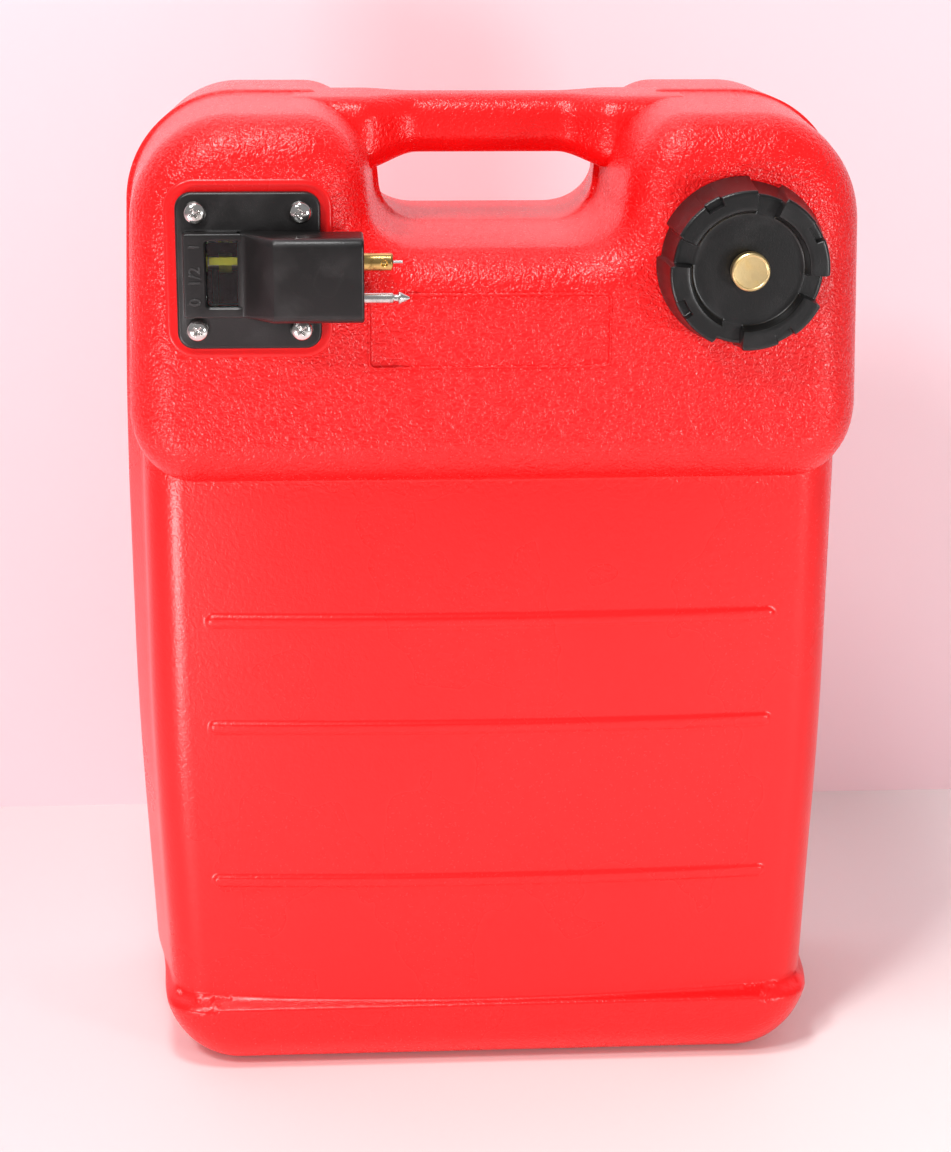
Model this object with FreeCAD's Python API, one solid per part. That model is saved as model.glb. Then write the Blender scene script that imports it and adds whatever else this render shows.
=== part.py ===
"""Portable outboard fuel tank, in millimetres.

Frame: the origin is the middle of the base, on the moulding's parting plane.
X points right, Y to the back and Z up, so the front with the cap and gauge faces -Y.
"""
import FreeCAD
import Part

import math
import os

from FreeCAD import Vector

# Tank outline, seen from the front
TANK_HEIGHT = 488.0
HALF_WIDTH_BASE = 171.0
HALF_WIDTH_HIP = 179.0
HALF_WIDTH_MIDDLE = 180.0
HALF_WIDTH_TOP = 174.5
HIP_Z = 170.0
HIP_BEND_RUN = 41.0
MIDDLE_BELOW_TOP = 158.0
MIDDLE_BEND_RUN = 51.0
BASE_CORNER_R = 46.0
TOP_CORNER_R = 54.0
TOP_DRAFT_SHARE = 0.3
WALL = 4.0

# Flat foot that the tank stands on
FOOT_PROUD = 0.6
FOOT_HALF_WIDTH = 118.0
FOOT_HALF_DEPTH = 56.0
FOOT_CORNER_R = 18.0

# Shoulder bulge across the top of the front
SHOULDER_DEPTH = 97.0
SHOULDER_HEIGHT = 176.0
SHOULDER_CORNER_R = 37.0
SHOULDER_ROUND = 24.0
SHOULDER_STEP_IN = 2.5
SHOULDER_DRAFT = 7.0

# Lower front panel, its rim line and its three beads
PANEL_DEPTH = 75.0
PANEL_BOW = 6.0
PANEL_BOW_HALF_SPAN = 150.0
PANEL_DRAFT = 12.0
PANEL_ROUND = 19.0
RIM_DRAFT = 8.5
RIM_TOP_DEPTH = 2.0
RIM_TILT_DEG = 5.4
BEAD_LEVELS = (240.0, 185.0, 103.0)
BEAD_HALF_LENGTH = 139.8
BEAD_HEIGHT = 6.5
BEAD_PROUD = 1.5
BEAD_EDGE_STEP = 0.3
BEAD_END_FLAT = 0.13

# Base band and back
BASE_BAND_Z = 37.0
BASE_BAND_DEPTH = 79.0
BASE_BAND_STEP_IN = 2.5
BASE_BAND_DRAFT = 7.0
BASE_BAND_ROUND = 21.0
BACK_DEPTH = 88.0
BACK_DRAFT = 8.0
BACK_ROUND = 24.0

# Handle and the notch round it
NOTCH_HALF_WIDTH_FLOOR = 51.0
NOTCH_HALF_WIDTH_TOP = 57.0
NOTCH_DEPTH = 63.0
NOTCH_FLOOR_R = 20.0
LOBE_R = 36.0
HANDLE_HEIGHT = 28.4
HANDLE_DEPTH = 32.0
HANDLE_ROUND = 11.0
HANDLE_TOP_DROP = 0.6
HANDLE_REACH = 96.0

# Capacity plate, left bare
PLATE_LEFT_X = -59.8
PLATE_RIGHT_X = 52.0
PLATE_BELOW_TOP = 82.5
PLATE_HEIGHT = 34.0
PLATE_DEEP = 0.7
PLATE_CORNER_R = 2.0

# Filler neck and screw cap; heights are measured out from the shoulder's face
CAP_FROM_SIDE = 62.5
CAP_BELOW_TOP = 67.5
NECK_R = 30.0
NECK_BORE_R = 25.0
NECK_HEIGHT = 15.0
SEAL_GAP = 0.3
GASKET_THICK = 2.3
GASKET_LAND = 5.4
CAP_BORE_CLEARANCE = 1.0
CAP_SKIRT_GAP = 0.8
CAP_RING_R = 39.5
CAP_RING_HEIGHT = 5.2
CAP_FACE_R = 36.6
CAP_HEIGHT = 28.0
CAP_TOP_THICK = 4.0
CAP_EDGE = 1.4
CAP_DISH_R = 25.7
CAP_DISH_SLOPE = 1.8
CAP_GAP_COUNT = 4
CAP_GAP_DEG = 20.0
CAP_GAP_START_DEG = 75.0
CAP_FLUTE_DEEP = 2.0
CAP_FLUTE_MORE_DEG = 2.0
CAP_POCKET_WIDTH = 8.3
CAP_POCKET_R = 32.4
CAP_POCKET_DEEP = 4.0
LINER_THICK = 1.4
LINER_GAP = 0.7

# Vent in the middle of the cap
VENT_KNOB_R = 8.8
VENT_KNOB_HEIGHT = 6.0
VENT_KNOB_EDGE = 0.7
VENT_SHANK_R = 2.5
VENT_RUN = 0.1
VENT_BUSH_R = 5.0
VENT_BUSH_FLANGE_R = 7.5
VENT_BUSH_FLANGE = 1.2
VENT_BUSH_SINK = 0.6
VENT_RING_R = 5.8
VENT_RING_WIRE_R = 0.8
VENT_RING_GAP = 0.15
VENT_TRAVEL = 2.0
VENT_CLIP_R = 4.6
VENT_CLIP_THICK = 0.8
VENT_TAIL = 0.6

# Gauge seat and its opening
GAUGE_FROM_SIDE = 59.9
GAUGE_BELOW_TOP = 70.0
SEAT_HALF_WIDTH = 36.6
SEAT_HALF_HEIGHT = 39.6
SEAT_CORNER_R = 12.0
SEAT_PROUD = 0.6
SEAT_EDGE = 0.5
GAUGE_OPENING_R = 24.0

# Gauge housing: flange, window box, ramp and outlet block
FLANGE_HALF_WIDTH = 33.0
FLANGE_HALF_HEIGHT = 36.0
FLANGE_CORNER_R = 7.5
FLANGE_THICK = 3.6
FLANGE_EDGE = 1.0
GAUGE_GASKET_THICK = 1.5
GAUGE_GASKET_INSET = 0.8
SCREW_HALF_X = 23.8
SCREW_HALF_Z = 26.9
BODY_LOW = -20.0
BODY_HIGH = 18.5
BOX_LEFT = -29.4
BOX_RIGHT = -1.9
BOX_HEIGHT = 8.0
BLOCK_LEFT = 11.6
BLOCK_RIGHT = 52.1
BLOCK_HEIGHT = 24.5
BLOCK_ROUND = 4.5
BLOCK_TANK_GAP = 4.5
WINDOW_LEFT = -19.0
WINDOW_RIGHT = -3.4
WINDOW_LOW = -15.0
WINDOW_HIGH = 15.0
WINDOW_CORNER_R = 1.6
WINDOW_BEVEL = 0.9
WINDOW_WALL = 1.9
LENS_LIP = 0.8
LENS_THICK = 1.9
LENS_FIT = 0.03

# Float gauge
PIVOT_DEPTH = 17.0
PIVOT_PIN_R = 1.5
PIVOT_RUN = 0.06
EAR_THICK = 2.2
EAR_HALF_HEIGHT = 4.0
EAR_GAP = 0.5
PIN_OVERHANG = 0.5
SLEEVE_R = 3.2
POINTER_REACH = 23.0
POINTER_REST_DEG = 12.0
POINTER_BAR_HEIGHT = 3.4
POINTER_BAR_THICK = 1.0
POINTER_SIDE_GAP = 1.2
POINTER_STEM_HALF_WIDTH = 1.5
POINTER_COLLAR = 1.4
POINTER_COLLAR_HALF_WIDTH = 3.0
ARM_SIDE_INSET = 3.0
ARM_WIRE_R = 1.25
ARM_LEAN_DEG = 12.5
ARM_TO_FLOAT = 165.0
FLOAT_R = 13.0
FLOAT_LENGTH = 34.0
FLOAT_EDGE = 3.0
FLOAT_FIT = 0.05
FLOAT_CLIP_R = 4.0
FLOAT_CLIP_THICK = 1.2
ARM_TAIL = 2.5

# Fuel line: dip tube, outlet tube with its check valve, and latch pin
OUTLET_RISE = 6.0
OUTLET_DEPTH_FROM_SHOULDER = 17.0
OUTLET_R = 4.1
OUTLET_ROOT_R = 4.9
OUTLET_BORE_R = 3.0
OUTLET_STICK_OUT = 13.2
OUTLET_SEAT_DEEP = 21.5
OUTLET_END_WALL = 1.5
OUTLET_GUIDE_R = 0.75
OUTLET_STEP_R = 2.2
OUTLET_STEP_BACK = 6.9
OUTLET_HOLE_R = 1.5
OUTLET_HOLE_BACK = 4.0
PICKUP_X = 16.6
BARB_R = 3.2
BARB_LENGTH = 11.0
PASSAGE_R = 2.2
PASSAGE_STEP = 0.3
DIP_TUBE_R = 4.75
DIP_TUBE_FIT = 0.05
DIP_TUBE_END_GAP = 16.0
FILTER_R = 7.0
FILTER_LENGTH = 20.0
FILTER_END_GAP = 3.0
FILTER_WALL = 1.2
STEM_R = 0.65
STEM_STICK_OUT = 4.4
STEM_HEAD_R = 2.9
STEM_HEAD_LENGTH = 3.0
STEM_GAP = 0.3
SPRING_R = 2.2
SPRING_WIRE_R = 0.35
SPRING_TURNS = 7
SPRING_LENGTH = 12.0
SPRING_SEAT_LENGTH = 3.0
SPRING_SEAT_BORE_R = 1.6
SPRING_SEAT_FIT = 0.02
LATCH_BELOW_OUTLET = 16.5
LATCH_R = 2.4
LATCH_ROOT_R = 3.0
LATCH_SHAFT = 13.3
LATCH_GROOVE_R = 1.6
LATCH_GROOVE = 2.2
LATCH_HEAD_R = 2.8
LATCH_HEAD = 1.1
LATCH_CONE = 4.4
LATCH_TIP_R = 0.4
LATCH_SEAT_DEEP = 11.5

# Screws and the threaded inserts that they hold in
SCREW_HEAD_R = 5.3
SCREW_HEAD_HEIGHT = 4.2
SCREW_HEAD_EDGE = 1.2
SCREW_SHANK_R = 2.1
SCREW_LENGTH = 12.0
SCREW_CLEARANCE = 0.3
CROSS_LENGTH = 5.0
CROSS_WIDTH = 1.0
CROSS_DEEP = 1.8
INSERT_R = 3.6
INSERT_LENGTH = 9.0
INSERT_FIT = 0.05
BOSS_R = 6.0
BOSS_LENGTH = 12.0

JOIN = 2.0

# Places that follow from the sizes above
MIDDLE_Z = TANK_HEIGHT - MIDDLE_BELOW_TOP
SHOULDER_BOTTOM_Z = TANK_HEIGHT - SHOULDER_HEIGHT
NOTCH_FLOOR_Z = TANK_HEIGHT - NOTCH_DEPTH
HANDLE_UNDERSIDE_Z = TANK_HEIGHT - HANDLE_TOP_DROP - HANDLE_HEIGHT
PLATE_HIGH_Z = TANK_HEIGHT - PLATE_BELOW_TOP
PLATE_LOW_Z = PLATE_HIGH_Z - PLATE_HEIGHT
CAP_X = HALF_WIDTH_TOP - CAP_FROM_SIDE
CAP_Z = TANK_HEIGHT - CAP_BELOW_TOP
GAUGE_X = GAUGE_FROM_SIDE - HALF_WIDTH_TOP
GAUGE_Z = TANK_HEIGHT - GAUGE_BELOW_TOP


def bend_radius(before, corner, after, run):
    """Radius of the arc that bends the outline at a corner and starts run before it."""
    first = math.atan2(corner[1] - before[1], corner[0] - before[0])
    second = math.atan2(after[1] - corner[1], after[0] - corner[0])
    return run / math.tan(abs(second - first) / 2.0)


def rounded_polygon(corners, insets, y):
    """Closed wire in the plane Y = y, counter-clockwise seen from the front.

    Corners are (x, z, radius). Each edge runs from its corner to the next and moves
    inward by its own inset. Outer radii shrink and inner radii grow by the insets.
    """
    count = len(corners)
    lines = []
    for i in range(count):
        x0, z0, _ = corners[i]
        x1, z1, _ = corners[(i + 1) % count]
        along = Vector(x1 - x0, 0, z1 - z0).normalize()
        inward = Vector(-along.z, 0, along.x)
        lines.append((Vector(x0, y, z0) + inward * insets[i], along))
    stops = []
    for i in range(count):
        start, before = lines[i - 1]
        other, after = lines[i]
        turn = before.z * after.x - before.x * after.z
        gap = other - start
        reach = (gap.z * after.x - gap.x * after.z) / turn
        corner = start + before * reach
        convex = turn < 0
        mean_inset = 0.5 * (insets[i - 1] + insets[i])
        radius = corners[i][2] - mean_inset if convex else corners[i][2] + mean_inset
        half = 0.5 * math.acos(before.dot(after))
        run = radius * math.tan(half)
        inward = (after - before).normalize()
        middle = corner + inward * (radius / math.cos(half) - radius)
        stops.append((corner - before * run, middle, corner + after * run))
    edges = []
    for i in range(count):
        edges.append(Part.makeLine(stops[i - 1][2], stops[i][0]))
        edges.append(Part.Arc(*stops[i]).toShape())
    return Part.Wire(edges)


def notch_corners():
    """Corners of the handle notch, from the right lobe to the left one."""
    return [
        (NOTCH_HALF_WIDTH_TOP, TANK_HEIGHT, LOBE_R),
        (NOTCH_HALF_WIDTH_FLOOR, NOTCH_FLOOR_Z, NOTCH_FLOOR_R),
        (-NOTCH_HALF_WIDTH_FLOOR, NOTCH_FLOOR_Z, NOTCH_FLOOR_R),
        (-NOTCH_HALF_WIDTH_TOP, TANK_HEIGHT, LOBE_R),
    ]


def tank_outline(draft, wall, y):
    """Whole outline with the notch. The base and the notch floor take no draft."""
    base, hip = (HALF_WIDTH_BASE, FOOT_PROUD), (HALF_WIDTH_HIP, HIP_Z)
    middle, top = (HALF_WIDTH_MIDDLE, MIDDLE_Z), (HALF_WIDTH_TOP, TANK_HEIGHT)
    hip_r = bend_radius(base, hip, middle, HIP_BEND_RUN)
    middle_r = bend_radius(hip, middle, top, MIDDLE_BEND_RUN)
    corners = [
        (-HALF_WIDTH_BASE, FOOT_PROUD, BASE_CORNER_R),
        (HALF_WIDTH_BASE, FOOT_PROUD, BASE_CORNER_R),
        (HALF_WIDTH_HIP, HIP_Z, hip_r),
        (HALF_WIDTH_MIDDLE, MIDDLE_Z, middle_r),
        (HALF_WIDTH_TOP, TANK_HEIGHT, TOP_CORNER_R),
        *notch_corners(),
        (-HALF_WIDTH_TOP, TANK_HEIGHT, TOP_CORNER_R),
        (-HALF_WIDTH_MIDDLE, MIDDLE_Z, middle_r),
        (-HALF_WIDTH_HIP, HIP_Z, hip_r),
    ]
    along_top = TOP_DRAFT_SHARE
    shares = [0.0, 1.0, 1.0, 1.0, along_top, 1.0, 0.0, 1.0, along_top, 1.0, 1.0, 1.0]
    return rounded_polygon(corners, [draft * s + wall for s in shares], y)


def shoulder_outline(draft, wall, y):
    """Outline of the bulge, which ends above the lower panel."""
    corners = [
        (-HALF_WIDTH_MIDDLE, SHOULDER_BOTTOM_Z, SHOULDER_CORNER_R),
        (HALF_WIDTH_MIDDLE, SHOULDER_BOTTOM_Z, SHOULDER_CORNER_R),
        (HALF_WIDTH_TOP, TANK_HEIGHT, TOP_CORNER_R),
        *notch_corners(),
        (-HALF_WIDTH_TOP, TANK_HEIGHT, TOP_CORNER_R),
    ]
    shares = [0.0, 1.0, TOP_DRAFT_SHARE, 1.0, 0.0, 1.0, TOP_DRAFT_SHARE, 1.0]
    return rounded_polygon(corners, [draft * s + wall for s in shares], y)


def edges_in_plane(shape, y):
    """Edges that lie in the plane Y = y."""
    return [e for e in shape.Edges if all(abs(v.Y - y) < 1e-4 for v in e.Vertexes)]


def bow_cylinder(extra):
    """Large upright cylinder whose front is the panel's crown, grown by extra."""
    radius = (PANEL_BOW_HALF_SPAN ** 2 + PANEL_BOW ** 2) / (2.0 * PANEL_BOW)
    centre = Vector(0, radius - PANEL_DEPTH, -TANK_HEIGHT)
    return Part.makeCylinder(radius + extra, 3.0 * TANK_HEIGHT, centre, Vector(0, 0, 1))


def back_form(wall):
    """Everything behind the parting plane."""
    wires = [tank_outline(0.0, wall, 0.0), tank_outline(BACK_DRAFT, wall, BACK_DEPTH - wall)]
    block = Part.makeLoft(wires, True, True)
    return block.makeFillet(BACK_ROUND - wall, edges_in_plane(block, BACK_DEPTH - wall))


def panel_form(wall):
    """Drafted band up to the tilted rim line, then the bowed lower panel."""
    rim = tank_outline(RIM_DRAFT, wall, -RIM_TOP_DEPTH)
    rim.rotate(Vector(0, -RIM_TOP_DEPTH, TANK_HEIGHT), Vector(1, 0, 0), -RIM_TILT_DEG)
    front = tank_outline(PANEL_DRAFT, wall, -PANEL_DEPTH - JOIN)
    block = Part.makeLoft([tank_outline(0.0, wall, 0.0), rim, front], True, True)
    block = block.common(bow_cylinder(-wall))
    crown = max(block.Faces, key=lambda face: face.Area * (face.CenterOfMass.y < -PANEL_DEPTH / 2))
    return block.makeFillet(PANEL_ROUND - wall, crown.OuterWire.Edges)


def shoulder_form(wall):
    """Bulge that carries the gauge and the filler."""
    face_y = wall - SHOULDER_DEPTH
    wires = [
        shoulder_outline(SHOULDER_STEP_IN, wall, 0.0),
        shoulder_outline(SHOULDER_DRAFT, wall, face_y),
    ]
    block = Part.makeLoft(wires, True, True)
    return block.makeFillet(SHOULDER_ROUND - wall, edges_in_plane(block, face_y))


def base_form(wall):
    """Band round the foot, a little proud of the panel above it."""
    face_y = wall - BASE_BAND_DEPTH
    wires = [
        tank_outline(BASE_BAND_STEP_IN, wall, 0.0),
        tank_outline(BASE_BAND_DRAFT, wall, face_y),
    ]
    block = Part.makeLoft(wires, True, True)
    block = block.makeFillet(BASE_BAND_ROUND - wall, edges_in_plane(block, face_y))
    width = 2.0 * max(HALF_WIDTH_MIDDLE, HALF_WIDTH_HIP, HALF_WIDTH_BASE)
    keep = Part.makeBox(width, BASE_BAND_DEPTH, BASE_BAND_Z - wall + JOIN,
                        Vector(-width / 2, -BASE_BAND_DEPTH, -JOIN))
    return block.common(keep)


def handle_form(wall):
    """Hollow bar between the lobes."""
    height = TANK_HEIGHT - HANDLE_TOP_DROP - HANDLE_UNDERSIDE_Z - 2.0 * wall
    depth = HANDLE_DEPTH - 2.0 * wall
    bar = Part.makeBox(2.0 * HANDLE_REACH, depth, height,
                       Vector(-HANDLE_REACH, -depth / 2, HANDLE_UNDERSIDE_Z + wall))
    long_edges = [e for e in bar.Edges if abs(e.Vertexes[0].X - e.Vertexes[1].X) > HANDLE_REACH]
    return bar.makeFillet(HANDLE_ROUND - wall, long_edges)


def tank_form(wall):
    """Outer form of the tank, or its inner form when wall is the wall's thickness."""
    form = back_form(wall)
    for part in (panel_form(wall), shoulder_form(wall), base_form(wall), handle_form(wall)):
        form = form.fuse(part)
    return form


def from_face(shape, x, z, face_y):
    """Turns a shape made along local +Z so that it points out of the front at (x, z)."""
    placed = shape.copy()
    placed.rotate(Vector(0, 0, 0), Vector(1, 0, 0), 90)
    placed.translate(Vector(x, face_y, z))
    return placed


def along_x(shape, x, y, z):
    """Turns a shape made along local +Z so that it points along +X from (x, y, z)."""
    placed = shape.copy()
    placed.rotate(Vector(0, 0, 0), Vector(0, 1, 0), 90)
    placed.translate(Vector(x, y, z))
    return placed


def rod(radius, low, high):
    """Round bar on the local Z axis."""
    return Part.makeCylinder(radius, high - low, Vector(0, 0, low))


def ring(outer_r, inner_r, low, high):
    """Washer or tube on the local Z axis."""
    return rod(outer_r, low, high).cut(rod(inner_r, low - JOIN, high + JOIN))


def sector(outer_r, inner_r, low, high, middle_deg, width_deg):
    """Slice of a ring, width_deg wide, about the direction middle_deg."""
    piece = Part.makeCylinder(outer_r, high - low, Vector(0, 0, low), Vector(0, 0, 1), width_deg)
    piece.rotate(Vector(0, 0, 0), Vector(0, 0, 1), middle_deg - width_deg / 2)
    return piece.cut(rod(inner_r, low - JOIN, high + JOIN)) if inner_r > 0 else piece


def turned(points):
    """Solid of revolution about the local Z axis, from (radius, height) points."""
    outline = [Vector(r, 0, h) for r, h in points]
    face = Part.Face(Part.makePolygon(outline + outline[:1]))
    return face.revolve(Vector(0, 0, 0), Vector(0, 0, 1), 360)


def rounded_plate(half_width, half_height, corner_r, low, high):
    """Plate with round corners, centred on the local Z axis."""
    plate = Part.makeBox(2 * half_width, 2 * half_height, high - low,
                         Vector(-half_width, -half_height, low))
    uprights = [e for e in plate.Edges if abs(e.Vertexes[0].Z - e.Vertexes[1].Z) > 1e-6]
    return plate.makeFillet(corner_r, uprights)


def top_edges(shape, height):
    """Edges that lie at one height on the local Z axis."""
    return [e for e in shape.Edges if all(abs(v.Z - height) < 1e-6 for v in e.Vertexes)]


def screw_places():
    """Offsets of the four flange screws from the middle of the gauge."""
    return [(sx * SCREW_HALF_X, sz * SCREW_HALF_Z) for sx in (-1, 1) for sz in (-1, 1)]


def on_gauge(shape):
    """Puts a shape made about the gauge's middle onto the tank; local 0 is the shoulder's face."""
    return from_face(shape, GAUGE_X, GAUGE_Z, -SHOULDER_DEPTH)


def on_filler(shape):
    """Puts a shape made about the filler's axis onto the tank; local 0 is the shoulder's face."""
    return from_face(shape, CAP_X, CAP_Z, -SHOULDER_DEPTH)


def bead(level):
    """One raised rib, which follows the crown of the lower panel."""
    radius = (BEAD_HEIGHT - BEAD_END_FLAT) / 2
    corners = [(sx * BEAD_HALF_LENGTH, level + sz * BEAD_HEIGHT / 2, radius)
               for sx, sz in ((-1, -1), (1, -1), (1, 1), (-1, 1))]
    wire = rounded_polygon(corners, [0.0] * len(corners), PANEL_BOW + JOIN - PANEL_DEPTH)
    prism = Part.Face(wire).extrude(Vector(0, -PANEL_BOW - BEAD_PROUD - 2 * JOIN, 0))
    rib = prism.common(bow_cylinder(BEAD_PROUD))
    crown = min(rib.Faces, key=lambda face: face.CenterOfMass.y)
    return rib.makeFillet(BEAD_PROUD - BEAD_EDGE_STEP, crown.OuterWire.Edges)


def capacity_recess():
    """Shallow pocket where a capacity would be moulded, left bare."""
    places = [(PLATE_LEFT_X, PLATE_LOW_Z), (PLATE_RIGHT_X, PLATE_LOW_Z),
              (PLATE_RIGHT_X, PLATE_HIGH_Z), (PLATE_LEFT_X, PLATE_HIGH_Z)]
    corners = [(x, z, PLATE_CORNER_R) for x, z in places]
    wire = rounded_polygon(corners, [0.0] * len(corners), PLATE_DEEP - SHOULDER_DEPTH)
    return Part.Face(wire).extrude(Vector(0, -PLATE_DEEP - JOIN, 0))


def tank_shell():
    """Blow-moulded tank: one hollow skin with its handle, seat, neck, beads and bosses."""
    seat = rounded_plate(SEAT_HALF_WIDTH, SEAT_HALF_HEIGHT, SEAT_CORNER_R, -WALL, SEAT_PROUD)
    seat = seat.makeFillet(SEAT_EDGE, top_edges(seat, SEAT_PROUD))
    foot = rounded_plate(FOOT_HALF_WIDTH, FOOT_HALF_DEPTH, FOOT_CORNER_R, 0.0, FOOT_PROUD + WALL / 2)
    outer = tank_form(0.0).fuse(on_gauge(seat)).fuse(foot)
    for level in BEAD_LEVELS:
        outer = outer.fuse(bead(level))
    shell = outer.cut(tank_form(WALL))
    shell = shell.fuse(on_filler(rod(NECK_R, -WALL / 2, NECK_HEIGHT)))
    shell = shell.cut(on_filler(rod(NECK_BORE_R, -WALL - JOIN, NECK_HEIGHT + JOIN)))
    for x, z in screw_places():
        boss = rod(BOSS_R, SEAT_PROUD - BOSS_LENGTH, -WALL / 2)
        shell = shell.fuse(from_face(boss, GAUGE_X + x, GAUGE_Z + z, -SHOULDER_DEPTH))
    for x, z in screw_places():
        hole = rod(INSERT_R + INSERT_FIT, SEAT_PROUD - INSERT_LENGTH - INSERT_FIT, SEAT_PROUD + JOIN)
        shell = shell.cut(from_face(hole, GAUGE_X + x, GAUGE_Z + z, -SHOULDER_DEPTH))
    shell = shell.cut(on_gauge(rod(GAUGE_OPENING_R, -WALL - JOIN, SEAT_PROUD + JOIN)))
    return shell.cut(capacity_recess())


def insert_nuts():
    """Four threaded inserts moulded into the seat."""
    nut = ring(INSERT_R, SCREW_SHANK_R + INSERT_FIT, SEAT_PROUD - INSERT_LENGTH, SEAT_PROUD)
    return [from_face(nut, GAUGE_X + x, GAUGE_Z + z, -SHOULDER_DEPTH) for x, z in screw_places()]


def gauge_gasket():
    """Flat rubber seal between the seat and the flange."""
    low, high = SEAT_PROUD, SEAT_PROUD + GAUGE_GASKET_THICK
    inset = GAUGE_GASKET_INSET
    seal = rounded_plate(FLANGE_HALF_WIDTH - inset, FLANGE_HALF_HEIGHT - inset,
                         FLANGE_CORNER_R - inset, low, high)
    seal = seal.cut(rod(GAUGE_OPENING_R, low - JOIN, high + JOIN))
    for x, z in screw_places():
        hole = rod(SCREW_SHANK_R + SCREW_CLEARANCE, low - JOIN, high + JOIN)
        hole.translate(Vector(x, z, 0))
        seal = seal.cut(hole)
    return [on_gauge(seal)]


FLANGE_BACK = SEAT_PROUD + GAUGE_GASKET_THICK
FLANGE_FRONT = FLANGE_BACK + FLANGE_THICK
BOX_FRONT = FLANGE_FRONT + BOX_HEIGHT
BLOCK_FRONT = FLANGE_FRONT + BLOCK_HEIGHT
LENS_FRONT = BOX_FRONT - WINDOW_WALL
LENS_BACK = LENS_FRONT - LENS_THICK
OUTLET_Y = -SHOULDER_DEPTH - OUTLET_DEPTH_FROM_SHOULDER
OUTLET_Z = GAUGE_Z + OUTLET_RISE
BLOCK_END_X = GAUGE_X + BLOCK_RIGHT
PIVOT_Y = PIVOT_DEPTH - SHOULDER_DEPTH


def box_between(x_range, y_range, z_range):
    """Box in local coordinates from three (low, high) pairs."""
    low = Vector(x_range[0], y_range[0], z_range[0])
    size = Vector(x_range[1], y_range[1], z_range[1]) - low
    return Part.makeBox(size.x, size.y, size.z, low)


def outlet_body():
    """Window box, ramp and outlet block, as one side profile carried up the gauge."""
    inside_flange = FLANGE_BACK + FLANGE_THICK / 2
    profile = [
        (BOX_LEFT, inside_flange), (BLOCK_RIGHT - BLOCK_TANK_GAP, inside_flange),
        (BLOCK_RIGHT, BLOCK_TANK_GAP), (BLOCK_RIGHT, BLOCK_FRONT),
        (BLOCK_LEFT, BLOCK_FRONT), (BOX_RIGHT, BOX_FRONT), (BOX_LEFT, BOX_FRONT),
    ]
    points = [Vector(x, BODY_LOW, w) for x, w in profile]
    face = Part.Face(Part.makePolygon(points + points[:1]))
    body = face.extrude(Vector(0, BODY_HIGH - BODY_LOW, 0))
    rounds = []
    for edge in body.Edges:
        a, b = edge.Vertexes[0].Point, edge.Vertexes[1].Point
        on_front = min(a.z, b.z) > BOX_FRONT - 1e-6 and max(a.z, b.z) > BLOCK_FRONT - 1e-6
        if on_front and abs(a.y - b.y) < 1e-6:
            rounds.append(edge)
    return body.makeFillet(BLOCK_ROUND, rounds)


def window_cuts():
    """Opening, lens rebate and the pointer's chamber behind it."""
    mid_x, mid_y = (WINDOW_LEFT + WINDOW_RIGHT) / 2, (WINDOW_LOW + WINDOW_HIGH) / 2
    half_x, half_y = (WINDOW_RIGHT - WINDOW_LEFT) / 2, (WINDOW_HIGH - WINDOW_LOW) / 2
    opening = rounded_plate(half_x, half_y, WINDOW_CORNER_R, LENS_FRONT - JOIN, BOX_FRONT)
    opening.translate(Vector(mid_x, mid_y, 0))
    grown = rounded_plate(half_x + WINDOW_BEVEL, half_y + WINDOW_BEVEL,
                          WINDOW_CORNER_R + WINDOW_BEVEL, BOX_FRONT, BOX_FRONT + JOIN)
    grown.translate(Vector(mid_x, mid_y, 0))
    low_wire = Part.Wire(Part.__sortEdges__(top_edges(opening, BOX_FRONT)))
    low_wire.translate(Vector(0, 0, -WINDOW_BEVEL))
    high_wire = Part.Wire(Part.__sortEdges__(top_edges(grown, BOX_FRONT)))
    bevel = Part.makeLoft([low_wire, high_wire], True, True)
    chamber = box_between((WINDOW_LEFT - LENS_LIP, WINDOW_RIGHT + LENS_LIP),
                          (WINDOW_LOW - LENS_LIP, WINDOW_HIGH + LENS_LIP),
                          (FLANGE_BACK - JOIN, LENS_FRONT))
    return opening.fuse(bevel).fuse(chamber)


def ear(low_x):
    """One ear of the float's bracket, with a round end about the pivot."""
    plate = box_between((low_x, low_x + EAR_THICK), (-EAR_HALF_HEIGHT, EAR_HALF_HEIGHT),
                        (-PIVOT_DEPTH, FLANGE_BACK + FLANGE_THICK / 2))
    end = along_x(rod(EAR_HALF_HEIGHT, 0, EAR_THICK), low_x, 0, -PIVOT_DEPTH)
    hole = along_x(rod(PIVOT_PIN_R, -JOIN, EAR_THICK + JOIN), low_x, 0, -PIVOT_DEPTH)
    return plate.fuse(end).cut(hole)


LEFT_EAR_X = WINDOW_LEFT - LENS_LIP - EAR_THICK
RIGHT_EAR_X = WINDOW_RIGHT + LENS_LIP


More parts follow.
